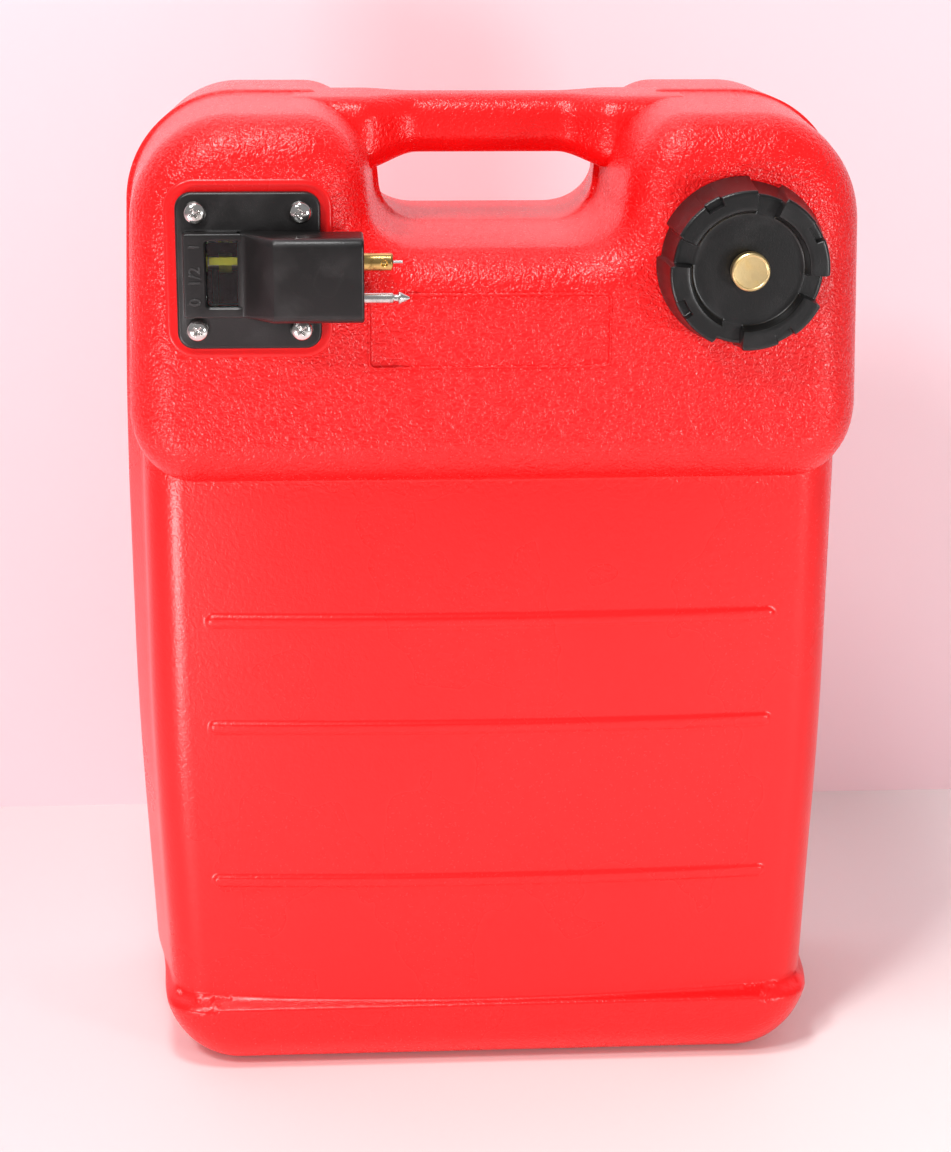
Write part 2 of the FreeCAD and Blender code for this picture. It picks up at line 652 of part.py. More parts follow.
def gauge_housing():
    """Black moulding: flange, window box, outlet block, bracket ears and hose barb."""
    flange = rounded_plate(FLANGE_HALF_WIDTH, FLANGE_HALF_HEIGHT, FLANGE_CORNER_R,
                           FLANGE_BACK, FLANGE_FRONT)
    flange = flange.makeFillet(FLANGE_EDGE, top_edges(flange, FLANGE_FRONT))
    housing = flange.fuse(outlet_body())
    barb = rod(BARB_R, FLANGE_BACK - BARB_LENGTH, FLANGE_FRONT)
    barb.translate(Vector(PICKUP_X, OUTLET_RISE, 0))
    housing = housing.fuse(barb).fuse(ear(LEFT_EAR_X)).fuse(ear(RIGHT_EAR_X)).cut(window_cuts())
    outlet_w = OUTLET_DEPTH_FROM_SHOULDER
    passage = rod(PASSAGE_R, FLANGE_BACK - BARB_LENGTH - JOIN, outlet_w + PASSAGE_R)
    passage.translate(Vector(PICKUP_X, OUTLET_RISE, 0))
    seat = rod(OUTLET_ROOT_R, -OUTLET_SEAT_DEEP, JOIN)
    seat = along_x(seat, BLOCK_RIGHT, OUTLET_RISE, outlet_w)
    run = rod(PASSAGE_R - PASSAGE_STEP, PICKUP_X - BLOCK_RIGHT, 0)
    run = along_x(run, BLOCK_RIGHT, OUTLET_RISE, outlet_w)
    latch = rod(LATCH_ROOT_R, -LATCH_SEAT_DEEP, JOIN)
    latch = along_x(latch, BLOCK_RIGHT, OUTLET_RISE - LATCH_BELOW_OUTLET, outlet_w)
    housing = housing.cut(passage).cut(seat).cut(run).cut(latch)
    for x, z in screw_places():
        hole = rod(SCREW_SHANK_R + SCREW_CLEARANCE, FLANGE_BACK - JOIN, FLANGE_FRONT + JOIN)
        hole.translate(Vector(x, z, 0))
        housing = housing.cut(hole)
    return [on_gauge(housing)]


def gauge_lens():
    """Clear window, set into its rebate from behind."""
    lip = LENS_LIP - LENS_FIT
    lens = box_between((WINDOW_LEFT - lip, WINDOW_RIGHT + lip),
                       (WINDOW_LOW - lip, WINDOW_HIGH + lip), (LENS_BACK, LENS_FRONT))
    return [on_gauge(lens)]


def flange_screws():
    """Four cross-head screws with domed heads."""
    top = FLANGE_FRONT + SCREW_HEAD_HEIGHT
    head = rod(SCREW_HEAD_R, FLANGE_FRONT, top)
    dome_r = (SCREW_HEAD_R ** 2 + SCREW_HEAD_HEIGHT ** 2) / (2 * SCREW_HEAD_HEIGHT) + SCREW_HEAD_EDGE
    dome = Part.makeSphere(dome_r, Vector(0, 0, top - dome_r))
    shank = rod(SCREW_SHANK_R, FLANGE_FRONT - SCREW_LENGTH, FLANGE_FRONT + JOIN / 2)
    screw = head.common(dome).fuse(shank)
    long, wide = CROSS_LENGTH / 2, CROSS_WIDTH / 2
    for half_x, half_y in ((long, wide), (wide, long)):
        slot = box_between((-half_x, half_x), (-half_y, half_y), (top - CROSS_DEEP, top + JOIN))
        screw = screw.cut(slot)
    return [from_face(screw, GAUGE_X + x, GAUGE_Z + z, -SHOULDER_DEPTH) for x, z in screw_places()]


def pivot_pin():
    """Steel pin through both ears."""
    low = LEFT_EAR_X - PIN_OVERHANG
    high = RIGHT_EAR_X + EAR_THICK + PIN_OVERHANG
    return [along_x(rod(PIVOT_PIN_R, low, high), GAUGE_X, PIVOT_Y, GAUGE_Z)]


def swung(shape, lean_deg):
    """Leans a shape made straight down from the pivot towards the back, about the pivot's line."""
    placed = shape.copy()
    placed.rotate(Vector(0, 0, 0), Vector(1, 0, 0), lean_deg)
    placed.translate(Vector(GAUGE_X, PIVOT_Y, GAUGE_Z))
    return placed


SLEEVE_LOW_X = LEFT_EAR_X + EAR_THICK + EAR_GAP
SLEEVE_HIGH_X = RIGHT_EAR_X - EAR_GAP
ARM_X = SLEEVE_LOW_X + ARM_SIDE_INSET
FLOAT_TOP = -ARM_TO_FLOAT + FLOAT_LENGTH / 2
FLOAT_BOTTOM = -ARM_TO_FLOAT - FLOAT_LENGTH / 2


def float_arm():
    """Sleeve on the pivot and the wire that hangs from it."""
    sleeve = along_x(rod(SLEEVE_R, SLEEVE_LOW_X, SLEEVE_HIGH_X), 0, 0, 0)
    bore = along_x(rod(PIVOT_PIN_R + PIVOT_RUN, SLEEVE_LOW_X - JOIN, SLEEVE_HIGH_X + JOIN), 0, 0, 0)
    end = FLOAT_BOTTOM - FLOAT_CLIP_THICK - ARM_TAIL
    wire = rod(ARM_WIRE_R, end, -(SLEEVE_R + PIVOT_PIN_R) / 2)
    wire.translate(Vector(ARM_X, 0, 0))
    return [swung(sleeve.fuse(wire).cut(bore), ARM_LEAN_DEG)]


def float_body():
    """Sealed cylinder that floats, on the end of the wire."""
    body = rod(FLOAT_R, FLOAT_BOTTOM, FLOAT_TOP)
    body = body.makeFillet(FLOAT_EDGE, top_edges(body, FLOAT_TOP) + top_edges(body, FLOAT_BOTTOM))
    body = body.cut(rod(ARM_WIRE_R + FLOAT_FIT, FLOAT_BOTTOM - JOIN, FLOAT_TOP + JOIN))
    body.translate(Vector(ARM_X, 0, 0))
    return [swung(body, ARM_LEAN_DEG)]


def float_clip():
    """Push-on washer that keeps the float on its wire."""
    clip = ring(FLOAT_CLIP_R, ARM_WIRE_R, FLOAT_BOTTOM - FLOAT_CLIP_THICK, FLOAT_BOTTOM)
    clip.translate(Vector(ARM_X, 0, 0))
    return [swung(clip, ARM_LEAN_DEG)]


def gauge_pointer():
    """Collar on the sleeve, stem and the bright bar that shows in the window."""
    middle = (WINDOW_LEFT + WINDOW_RIGHT) / 2
    low, high = middle - POINTER_COLLAR_HALF_WIDTH, middle + POINTER_COLLAR_HALF_WIDTH
    collar = along_x(rod(SLEEVE_R + POINTER_COLLAR, low, high), 0, 0, 0)
    stem = box_between((middle - POINTER_STEM_HALF_WIDTH, middle + POINTER_STEM_HALF_WIDTH),
                       (-POINTER_REACH, -SLEEVE_R), (-POINTER_BAR_THICK, POINTER_BAR_THICK))
    bar = box_between((WINDOW_LEFT + POINTER_SIDE_GAP, WINDOW_RIGHT - POINTER_SIDE_GAP),
                      (-POINTER_REACH, POINTER_BAR_THICK - POINTER_REACH),
                      (-POINTER_BAR_HEIGHT / 2, POINTER_BAR_HEIGHT / 2))
    bore = along_x(rod(SLEEVE_R, low - JOIN, high + JOIN), 0, 0, 0)
    pointer = collar.fuse(stem).fuse(bar).cut(bore)
    return [swung(pointer, -POINTER_REST_DEG)]


def pickup_tube():
    """Dip tube from the barb to just short of the back wall."""
    far = DIP_TUBE_END_GAP - SHOULDER_DEPTH - BACK_DEPTH + WALL
    tube = ring(DIP_TUBE_R, BARB_R + DIP_TUBE_FIT, far, FLANGE_BACK - JOIN)
    tube.translate(Vector(PICKUP_X, OUTLET_RISE, 0))
    return [on_gauge(tube)]


def pickup_filter():
    """Cup-shaped strainer over the end of the dip tube."""
    far = FILTER_END_GAP - SHOULDER_DEPTH - BACK_DEPTH + WALL
    near = far + FILTER_LENGTH
    cup = rod(FILTER_R, far, near)
    cup = cup.cut(rod(FILTER_R - FILTER_WALL, far + FILTER_WALL, near - 2 * FILTER_WALL))
    cup = cup.cut(rod(DIP_TUBE_R + DIP_TUBE_FIT, near - FILTER_LENGTH / 2, near + JOIN))
    cup.translate(Vector(PICKUP_X, OUTLET_RISE, 0))
    return [on_gauge(cup)]


def outlet_tube():
    """Brass outlet: a stepped bore, a guide hole for the stem and a side hole for the fuel."""
    tube = rod(OUTLET_R, -JOIN, OUTLET_STICK_OUT).fuse(rod(OUTLET_ROOT_R, -OUTLET_SEAT_DEEP, 0))
    tube = tube.cut(rod(OUTLET_BORE_R, -OUTLET_SEAT_DEEP - JOIN, OUTLET_STICK_OUT - OUTLET_STEP_BACK))
    tube = tube.cut(rod(OUTLET_STEP_R, -OUTLET_SEAT_DEEP, OUTLET_STICK_OUT - OUTLET_END_WALL))
    tube = tube.cut(rod(OUTLET_GUIDE_R, 0, OUTLET_STICK_OUT + JOIN))
    tube = along_x(tube, BLOCK_END_X, OUTLET_Y, OUTLET_Z)
    hole_x = BLOCK_END_X + OUTLET_STICK_OUT - OUTLET_HOLE_BACK
    side = from_face(rod(OUTLET_HOLE_R, 0, OUTLET_R + JOIN), hole_x, OUTLET_Z, OUTLET_Y)
    return [tube.cut(side)]


STEM_HEAD_FRONT = OUTLET_STICK_OUT - OUTLET_STEP_BACK - STEM_GAP
STEM_HEAD_BACK = STEM_HEAD_FRONT - STEM_HEAD_LENGTH
SPRING_FRONT = STEM_HEAD_BACK - STEM_GAP
SPRING_BACK = SPRING_FRONT - SPRING_LENGTH


def valve_stem():
    """Check valve's stem, which a hose connector pushes in."""
    stem = rod(STEM_R, STEM_HEAD_FRONT - STEM_HEAD_LENGTH / 2, OUTLET_STICK_OUT + STEM_STICK_OUT)
    stem = stem.fuse(rod(STEM_HEAD_R, STEM_HEAD_BACK, STEM_HEAD_FRONT))
    return [along_x(stem, BLOCK_END_X, OUTLET_Y, OUTLET_Z)]


def valve_spring():
    """Round wire coil that closes the valve."""
    pitch = (SPRING_LENGTH - 2 * SPRING_WIRE_R) / SPRING_TURNS
    line = Part.makeHelix(pitch, pitch * SPRING_TURNS, SPRING_R)
    start = Part.Wire(Part.makeCircle(SPRING_WIRE_R, Vector(SPRING_R, 0, 0), Vector(0, 1, 0)))
    coil = Part.Wire(line).makePipeShell([start], True, True)
    coil.translate(Vector(0, 0, SPRING_BACK + SPRING_WIRE_R))
    return [along_x(coil, BLOCK_END_X, OUTLET_Y, OUTLET_Z)]


def spring_seat():
    """Brass ring in the tube that backs the spring."""
    outer = OUTLET_BORE_R - SPRING_SEAT_FIT
    seat = ring(outer, SPRING_SEAT_BORE_R, SPRING_BACK - SPRING_SEAT_LENGTH, SPRING_BACK)
    return [along_x(seat, BLOCK_END_X, OUTLET_Y, OUTLET_Z)]


def latch_pin():
    """Steel pin that a hose connector latches on, with its groove and pointed head."""
    groove = LATCH_SHAFT + LATCH_GROOVE
    head = groove + LATCH_HEAD
    pin = turned([
        (0, -LATCH_SEAT_DEEP), (LATCH_ROOT_R, -LATCH_SEAT_DEEP), (LATCH_ROOT_R, 0), (LATCH_R, 0),
        (LATCH_R, LATCH_SHAFT), (LATCH_GROOVE_R, LATCH_SHAFT),
        (LATCH_GROOVE_R, groove), (LATCH_HEAD_R, groove),
        (LATCH_HEAD_R, head), (LATCH_TIP_R, head + LATCH_CONE), (0, head + LATCH_CONE),
    ])
    return [along_x(pin, BLOCK_END_X, OUTLET_Y, OUTLET_Z - LATCH_BELOW_OUTLET)]


GASKET_LOW = NECK_HEIGHT + SEAL_GAP
CAP_UNDER = GASKET_LOW + GASKET_THICK + SEAL_GAP
DISH_FLOOR = CAP_UNDER + CAP_TOP_THICK


def cap_gasket():
    """Soft ring that the cap presses on the neck's rim."""
    inner, outer = NECK_BORE_R + LINER_GAP / 2, NECK_BORE_R + GASKET_LAND
    return [on_filler(ring(outer, inner, GASKET_LOW, GASKET_LOW + GASKET_THICK))]


def cap_shell():
    """Screw cap: four raised blocks parted by gaps, a pocket in each, flutes and a dished middle."""
    bore = NECK_R + CAP_BORE_CLEARANCE
    cap = turned([
        (0, CAP_UNDER), (bore, CAP_UNDER),
        (bore, CAP_SKIRT_GAP), (CAP_RING_R - CAP_EDGE / 2, CAP_SKIRT_GAP),
        (CAP_RING_R, CAP_SKIRT_GAP + CAP_EDGE / 2), (CAP_RING_R, CAP_RING_HEIGHT),
        (CAP_RING_R - CAP_EDGE / 2, CAP_RING_HEIGHT + CAP_EDGE), (CAP_FACE_R, CAP_HEIGHT - CAP_EDGE),
        (CAP_FACE_R - CAP_EDGE, CAP_HEIGHT), (0, CAP_HEIGHT),
    ])
    dish_low = Vector(0, 0, DISH_FLOOR)
    dish_deep = CAP_HEIGHT - DISH_FLOOR
    cap = cap.cut(Part.makeCone(CAP_DISH_R - CAP_DISH_SLOPE, CAP_DISH_R, dish_deep, dish_low))
    beyond, above = CAP_RING_R + JOIN, CAP_HEIGHT + JOIN
    flute_low, flute_r = CAP_RING_HEIGHT + CAP_EDGE, CAP_FACE_R - CAP_FLUTE_DEEP
    half = CAP_POCKET_WIDTH / 2
    step = 360.0 / CAP_GAP_COUNT
    for i in range(CAP_GAP_COUNT):
        gap = CAP_GAP_START_DEG + i * step
        flute_deg = CAP_GAP_DEG + CAP_FLUTE_MORE_DEG
        cap = cap.cut(sector(beyond, 0, DISH_FLOOR, above, gap, CAP_GAP_DEG))
        cap = cap.cut(sector(beyond, flute_r, flute_low, above, gap, flute_deg))
        pocket = box_between((CAP_POCKET_R, beyond), (-half, half), (CAP_HEIGHT - CAP_POCKET_DEEP, above))
        flute = box_between((flute_r, beyond), (-half, half), (flute_low, above))
        for cut in (pocket, flute):
            cut.rotate(Vector(0, 0, 0), Vector(0, 0, 1), gap + step / 2)
            cap = cap.cut(cut)
    return [on_filler(cap.cut(rod(VENT_BUSH_R, CAP_UNDER - JOIN, DISH_FLOOR + JOIN)))]


def cap_liner():
    """Splash disc under the cap's top, inside the gasket."""
    liner = ring(NECK_BORE_R - LINER_GAP / 2, VENT_BUSH_R, CAP_UNDER - LINER_THICK, CAP_UNDER)
    return [on_filler(liner)]


BUSH_LOW = CAP_UNDER - LINER_THICK - VENT_BUSH_FLANGE
KNOB_LOW = DISH_FLOOR + 2 * (VENT_RING_WIRE_R + VENT_RING_GAP)
CLIP_HIGH = BUSH_LOW - VENT_TRAVEL - SEAL_GAP


def vent_bush():
    """Flanged brass bush through the liner and the cap."""
    bush = rod(VENT_BUSH_R, BUSH_LOW, DISH_FLOOR - VENT_BUSH_SINK)
    bush = bush.fuse(rod(VENT_BUSH_FLANGE_R, BUSH_LOW, BUSH_LOW + VENT_BUSH_FLANGE))
    return [on_filler(bush.cut(rod(VENT_SHANK_R + VENT_RUN, BUSH_LOW - JOIN, DISH_FLOOR + JOIN)))]


def vent_o_ring():
    """Ring that seals under the vent knob."""
    centre = DISH_FLOOR + VENT_RING_GAP + VENT_RING_WIRE_R
    return [on_filler(Part.makeTorus(VENT_RING_R, VENT_RING_WIRE_R, Vector(0, 0, centre)))]


def vent_screw():
    """Brass knob on its shank, opened by hand to let air in."""
    knob = rod(VENT_KNOB_R, KNOB_LOW, KNOB_LOW + VENT_KNOB_HEIGHT)
    knob = knob.makeFillet(VENT_KNOB_EDGE, top_edges(knob, KNOB_LOW + VENT_KNOB_HEIGHT))
    shank = rod(VENT_SHANK_R, CLIP_HIGH - VENT_CLIP_THICK - VENT_TAIL, KNOB_LOW + JOIN / 2)
    return [on_filler(knob.fuse(shank))]


def vent_clip():
    """Spring clip that stops the vent screw from coming out."""
    return [on_filler(ring(VENT_CLIP_R, VENT_SHANK_R, CLIP_HIGH - VENT_CLIP_THICK, CLIP_HIGH))]


NODES = {
    "tank_shell": lambda: [tank_shell()],
    "insert_nuts": insert_nuts,
    "gauge_gasket": gauge_gasket,
    "gauge_housing": gauge_housing,
    "gauge_lens": gauge_lens,
    "flange_screws": flange_screws,
    "pivot_pin": pivot_pin,
    "float_arm": float_arm,
    "float_body": float_body,
    "float_clip": float_clip,
    "gauge_pointer": gauge_pointer,
    "pickup_tube": pickup_tube,
    "pickup_filter": pickup_filter,
    "outlet_tube": outlet_tube,
    "valve_stem": valve_stem,
    "valve_spring": valve_spring,
    "spring_seat": spring_seat,
    "latch_pin": latch_pin,
    "cap_gasket": cap_gasket,
    "cap_shell": cap_shell,
    "cap_liner": cap_liner,
    "vent_bush": vent_bush,
    "vent_o_ring": vent_o_ring,
    "vent_screw": vent_screw,
    "vent_clip": vent_clip,
}

os.makedirs("parts", exist_ok=True)
for name, make in NODES.items():
    solids = make()
    shape = solids[0] if len(solids) == 1 else Part.makeCompound(solids)
    shape.exportStep(os.path.join("parts", name + ".step"))
    print(name, len(shape.Solids), shape.isValid(), round(shape.Volume / 1000.0, 3), "cm3")
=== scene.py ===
"""Looks of a portable outboard fuel tank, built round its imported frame.

Shapes are worked out in millimetres in the row's frame: X right, Y to the back, Z up.
Each mesh is scaled to metres when it is made.
"""
import logging
import math
from dataclasses import dataclass
from enum import Enum

import bmesh
import bpy
import numpy as np
from mathutils import Matrix, Vector


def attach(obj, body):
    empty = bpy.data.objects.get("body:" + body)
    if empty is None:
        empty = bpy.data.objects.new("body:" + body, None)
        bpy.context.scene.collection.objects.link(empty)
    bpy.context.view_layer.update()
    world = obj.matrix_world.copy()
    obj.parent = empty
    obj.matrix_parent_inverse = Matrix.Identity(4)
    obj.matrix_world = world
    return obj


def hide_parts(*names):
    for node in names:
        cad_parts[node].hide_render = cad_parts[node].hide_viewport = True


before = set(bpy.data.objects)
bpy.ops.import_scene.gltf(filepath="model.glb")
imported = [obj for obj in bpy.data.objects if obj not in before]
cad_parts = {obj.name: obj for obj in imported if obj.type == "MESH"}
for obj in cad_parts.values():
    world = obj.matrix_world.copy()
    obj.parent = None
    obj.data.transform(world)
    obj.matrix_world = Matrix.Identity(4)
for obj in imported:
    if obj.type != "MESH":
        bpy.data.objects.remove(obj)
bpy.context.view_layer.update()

LOG = logging.getLogger("fuel_tank")
MM = 0.001
ROUND = 2.0 * math.pi
FRONT_FACE = -97.0
GAUGE_AT = (-114.6, 418.0)
FILLER_AT = (112.0, 420.5)


class Side(Enum):
    """The two halves of the moulding."""

    FRONT = -1.0
    BACK = 1.0


def smoothstep(low: float, high: float, value: np.ndarray) -> np.ndarray:
    """Rises smoothly from 0 at low to 1 at high: t squared times 3 - 2t.

    Args:
        low: value at which the result is 0.
        high: value at which the result is 1.
        value: numbers to ease.

    Returns:
        Eased numbers from 0 to 1.
    """
    t = np.clip((value - low) / (high - low), 0.0, 1.0)
    return t * t * (3.0 - 2.0 * t)


def smooth_max(a: np.ndarray, b: np.ndarray, blend: float) -> np.ndarray:
    """Larger of two heights with a rounded valley between them.

    Formula: the maximum plus h squared over 4 blend, with h = max(blend - |a - b|, 0).

    Args:
        a: first heights.
        b: second heights.
        blend: height difference under which the two are blended.

    Returns:
        Blended heights.
    """
    h = np.maximum(blend - np.abs(a - b), 0.0)
    return np.maximum(a, b) + h * h / (4.0 * blend)


def spaced(*stops: tuple[float, float]) -> np.ndarray:
    """Rising values through stops, each with the spacing wanted up to the next one.

    Args:
        stops: (value, spacing) pairs; the last spacing isn't used.

    Returns:
        Values that hit every stop.
    """
    runs = [np.linspace(a, b, max(2, int(round((b - a) / step)) + 1))[:-1]
            for (a, step), (b, _) in zip(stops[:-1], stops[1:])]
    return np.concatenate(runs + [np.array([stops[-1][0]])])


RGB = tuple[float, float, float]


class Wire:
    """An output socket that arithmetic works on: each operation adds its own node."""

    def __init__(self, graph: "Graph", socket: bpy.types.NodeSocket) -> None:
        """Keeps the socket and the graph that it belongs to."""
        self.graph, self.socket = graph, socket

    def __add__(self, other: "Wire | float") -> "Wire":
        """Adds."""
        return self.graph.maths("ADD", self, other)

    def __radd__(self, other: float) -> "Wire":
        """Adds, from the right."""
        return self.graph.maths("ADD", other, self)

    def __sub__(self, other: "Wire | float") -> "Wire":
        """Subtracts."""
        return self.graph.maths("SUBTRACT", self, other)

    def __rsub__(self, other: float) -> "Wire":
        """Subtracts from a number."""
        return self.graph.maths("SUBTRACT", other, self)

    def __mul__(self, other: "Wire | float") -> "Wire":
        """Multiplies."""
        return self.graph.maths("MULTIPLY", self, other)

    def __rmul__(self, other: float) -> "Wire":
        """Multiplies, from the right."""
        return self.graph.maths("MULTIPLY", other, self)

    def __truediv__(self, other: "Wire | float") -> "Wire":
        """Divides."""
        return self.graph.maths("DIVIDE", self, other)

    def __rtruediv__(self, other: float) -> "Wire":
        """Divides a number."""
        return self.graph.maths("DIVIDE", other, self)

    def __pow__(self, other: "Wire | float") -> "Wire":
        """Raises to a power."""
        return self.graph.maths("POWER", self, other)

    def __rpow__(self, other: float) -> "Wire":
        """Raises a number to this power."""
        return self.graph.maths("POWER", other, self)

    def eased(self, low: float, high: float) -> "Wire":
        """Smooth step from 0 at low to 1 at high."""
        return self.graph.node("ShaderNodeMapRange", {"interpolation_type": "SMOOTHSTEP"},
                               {"Value": self, "From Min": low, "From Max": high})


class Graph:
    """The nodes of one material."""

    def __init__(self, name: str) -> None:
        """Makes the material with its one shader.

        Args:
            name: the material's name.
        """
        self.material = bpy.data.materials.new(name)
        self.material.use_nodes = True
        self.tree = self.material.node_tree
        self.shader = self.tree.nodes["Principled BSDF"]

    def feed(self, socket: bpy.types.NodeSocket, value: "Wire | RGB | float | str") -> None:
        """Links a wire to a socket, or sets the socket's own value.

        Args:
            socket: input socket.
            value: wire, number, vector or colour.
        """
        if isinstance(value, Wire):
            self.tree.links.new(value.socket, socket)
        elif socket.type == "RGBA" and len(value) == 3:
            socket.default_value = (*value, 1.0)
        else:
            socket.default_value = value

    def node(self, kind: str, settings: dict[str, object], values: dict[str | int, object],
             out: str | int = 0) -> Wire:
        """Adds any node.

        Args:
            kind: type of the node.
            settings: properties, set first.
            values: numbers, colours or wires for its inputs.
            out: name or place of the output.

        Returns:
            The output.
        """
        made = self.tree.nodes.new(kind)
        for key, value in settings.items():
            setattr(made, key, value)
        for key, value in values.items():
            self.feed(made.inputs[key], value)
        return Wire(self, made.outputs[out])

    def maths(self, operation: str, *values: "Wire | float") -> Wire:
        """Adds a Math node with the values in its inputs."""
        return self.node("ShaderNodeMath", {"operation": operation}, dict(enumerate(values)))

    def vector(self, operation: str, *values: "Wire | tuple[float, float, float]", out: int = 0) -> Wire:
        """Adds a Vector Math node with the values in its inputs."""
        return self.node("ShaderNodeVectorMath", {"operation": operation}, dict(enumerate(values)), out)

    def mix(self, factor: Wire, low: "Wire | RGB", high: "Wire | RGB") -> Wire:
        """Mixes two colours."""
        return self.node("ShaderNodeMix", {"data_type": "RGBA"}, {0: factor, 6: low, 7: high}, 2)

    def place(self) -> Wire:
        """Place on the object, in metres."""
        return self.node("ShaderNodeTexCoord", {}, {}, "Object")

    def noise(self, scale: float, detail: float = 2.0, distortion: float = 0.0,
              at: "Wire | None" = None) -> Wire:
        """Noise from 0 to 1 with features about 1 / scale metres across."""
        return self.node("ShaderNodeTexNoise", {}, {"Vector": at or self.place(), "Scale": scale,
                                                    "Detail": detail, "Distortion": distortion}, "Fac")

    def finish(self, height: "Wire | None", depth: float, **sockets: object) -> bpy.types.Material:
        """Feeds the shader.

        Args:
            height: surface height from 0 to 1 for the bump, or nothing.
            depth: how deep a height of 1 is, in metres.
            **sockets: values for the shader's inputs, with _ for each space.

        Returns:
            The material.
        """
        for name, value in sockets.items():
            self.feed(self.shader.inputs[name.replace("_", " ")], value)
        if height is not None:
            bump = self.node("ShaderNodeBump", {}, {"Strength": 1.0, "Distance": depth, "Height": height})
            self.feed(self.shader.inputs["Normal"], bump)
        return self.material

    def open_from_behind(self) -> None:
        """Makes the sheet clear from behind: the side that is seen picks one of two shaders."""
        behind = self.node("ShaderNodeNewGeometry", {}, {}, "Backfacing")
        clear = self.node("ShaderNodeBsdfTransparent", {}, {})
        sides = self.node("ShaderNodeMixShader", {}, {0: behind, 1: Wire(self, self.shader.outputs[0]), 2: clear})
        self.feed(self.tree.nodes["Material Output"].inputs["Surface"], sides)


@dataclass(frozen=True)
class Finish:
    """A named material that is painted once and shared by the pieces that wear it."""

    name: str

    def material(self) -> bpy.types.Material:
        """The material, painted on first use."""
        return bpy.data.materials.get(self.name) or self.paint()

    def paint(self) -> bpy.types.Material:
        """Builds the material's nodes."""
        raise NotImplementedError


@dataclass(frozen=True)
class GrainedPlastic(Finish):
    """Blow-moulded plastic with a leather-like pebble whose strength the mesh carries."""

    colour: RGB
    deep: RGB
    pebble: float = 520.0
    depth: float = 0.00042
    roughness: float = 0.22
    wander_scale: float = 120.0
    wander_reach: float = 0.004
    shine: float = 0.46

    def paint(self) -> bpy.types.Material:
        """Formula: pebble times the mesh's grain plus a fine texture gives the height; the colour is also darkened
        in the pebble's low places, which is painted shade.

        Returns:
            The material.
        """
        g = Graph(self.name)
        grain = g.node("ShaderNodeAttribute", {"attribute_name": "grain"}, {}, "Fac")
        drift = g.node("ShaderNodeTexNoise", {}, {"Vector": g.place(), "Scale": self.wander_scale}, "Color")
        wander = g.node("ShaderNodeVectorMath", {"operation": "SCALE"}, {0: drift, "Scale": self.wander_reach})
        at = g.vector("ADD", g.place(), wander)
        worms = g.noise(self.pebble, 1.0, 0.5, at).eased(0.22, 0.74)
        beads = g.noise(self.pebble * 2.1, 0.0, 0.0, at).eased(0.25, 0.75)
        fine = g.noise(1500.0, 1.0)
        height = (worms * 0.72 + beads * 0.28) * grain + fine * 0.05
        mottle = g.noise(11.0, 3.0).eased(0.3, 0.7)
        dust = g.noise(620.0, 2.0).eased(0.62, 0.8)
        # colour: the broad mottle is random tone; the (1 - worms) term darkens the pebble's low places, which is
        # painted shade
        colour = g.mix(mottle * 0.5 + (1.0 - worms) * grain * 0.25, self.colour, self.deep)
        rough = self.roughness + mottle * 0.05 + dust * 0.08 + (1.0 - grain) * 0.04
        return g.finish(height, self.depth, Base_Color=colour, Roughness=rough, IOR=1.5,
                        Specular_IOR_Level=self.shine)


@dataclass(frozen=True)
class MouldedPlastic(Finish):
    """Injection-moulded plastic with a fine spark texture and scuffed, matt patches."""

    colour: RGB
    scuffed: RGB
    roughness: float = 0.36
    depth: float = 0.00006
    texture: float = 1400.0
    patches: float = 55.0

    def paint(self) -> bpy.types.Material:
        """Formula: fine noise is the height; broad noise picks the scuffed patches.

        Returns:
            The material.
        """
        g = Graph(self.name)
        fine = g.noise(self.texture, 3.0)
        patch = g.noise(self.patches, 4.0, 0.4).eased(0.46, 0.72)
        threads = g.noise(26.0, 5.0, 2.5)
        hair = threads.eased(0.57, 0.60) * (1.0 - threads.eased(0.60, 0.63))
        colour = g.mix(patch * 0.7 + hair * 0.3, self.colour, self.scuffed)
        rough = self.roughness + patch * 0.08 + fine * 0.06
        return g.finish(fine, self.depth, Base_Color=colour, Roughness=rough, IOR=1.5)


@dataclass(frozen=True)
class Metal(Finish):
    """Bare or plated metal; a turned part has fine rings round its axis."""

    colour: RGB
    tarnish: RGB
    roughness: float = 0.2
    axis_at: tuple[float, float, float] | None = None
    across: tuple[float, float, float] = (1.0, 0.0, 1.0)
    rings: float = 9000.0
    depth: float = 0.000012

    def paint(self) -> bpy.types.Material:
        """Formula: broad noise darkens and dulls; the sine of the distance from the axis makes the rings.

        Returns:
            The material.
        """
        g = Graph(self.name)
        stain = g.noise(210.0, 4.0, 0.5).eased(0.42, 0.75)
        fine = g.noise(2600.0, 2.0)
        height = fine * 0.5
        if self.axis_at is not None:
            arm = g.vector("MULTIPLY", g.vector("SUBTRACT", g.place(), self.axis_at), self.across)
            away = g.vector("LENGTH", arm, out=1)
            height = height + g.maths("SINE", away * self.rings) * 0.5
        colour = g.mix(stain, self.colour, self.tarnish)
        return g.finish(height, self.depth, Base_Color=colour, Metallic=1.0,
                        Roughness=self.roughness + stain * 0.14 + fine * 0.04)


@dataclass(frozen=True)
class ClearPlastic(Finish):
    """Clear lens with faint smears."""

    colour: RGB = (0.96, 0.97, 0.97)
    smeared: RGB = (0.88, 0.89, 0.9)
    depth: float = 0.00003

    def paint(self) -> bpy.types.Material:
        """Formula: broad noise makes the smears a little rougher than the rest.

        Returns:
            The material.
        """
        g = Graph(self.name)
        smear = g.noise(130.0, 4.0, 1.2).eased(0.5, 0.75)
        return g.finish(g.noise(90.0), self.depth, Base_Color=g.mix(smear, self.colour, self.smeared),
                        Roughness=smear * 0.1 + 0.02, Transmission_Weight=1.0, IOR=1.45)


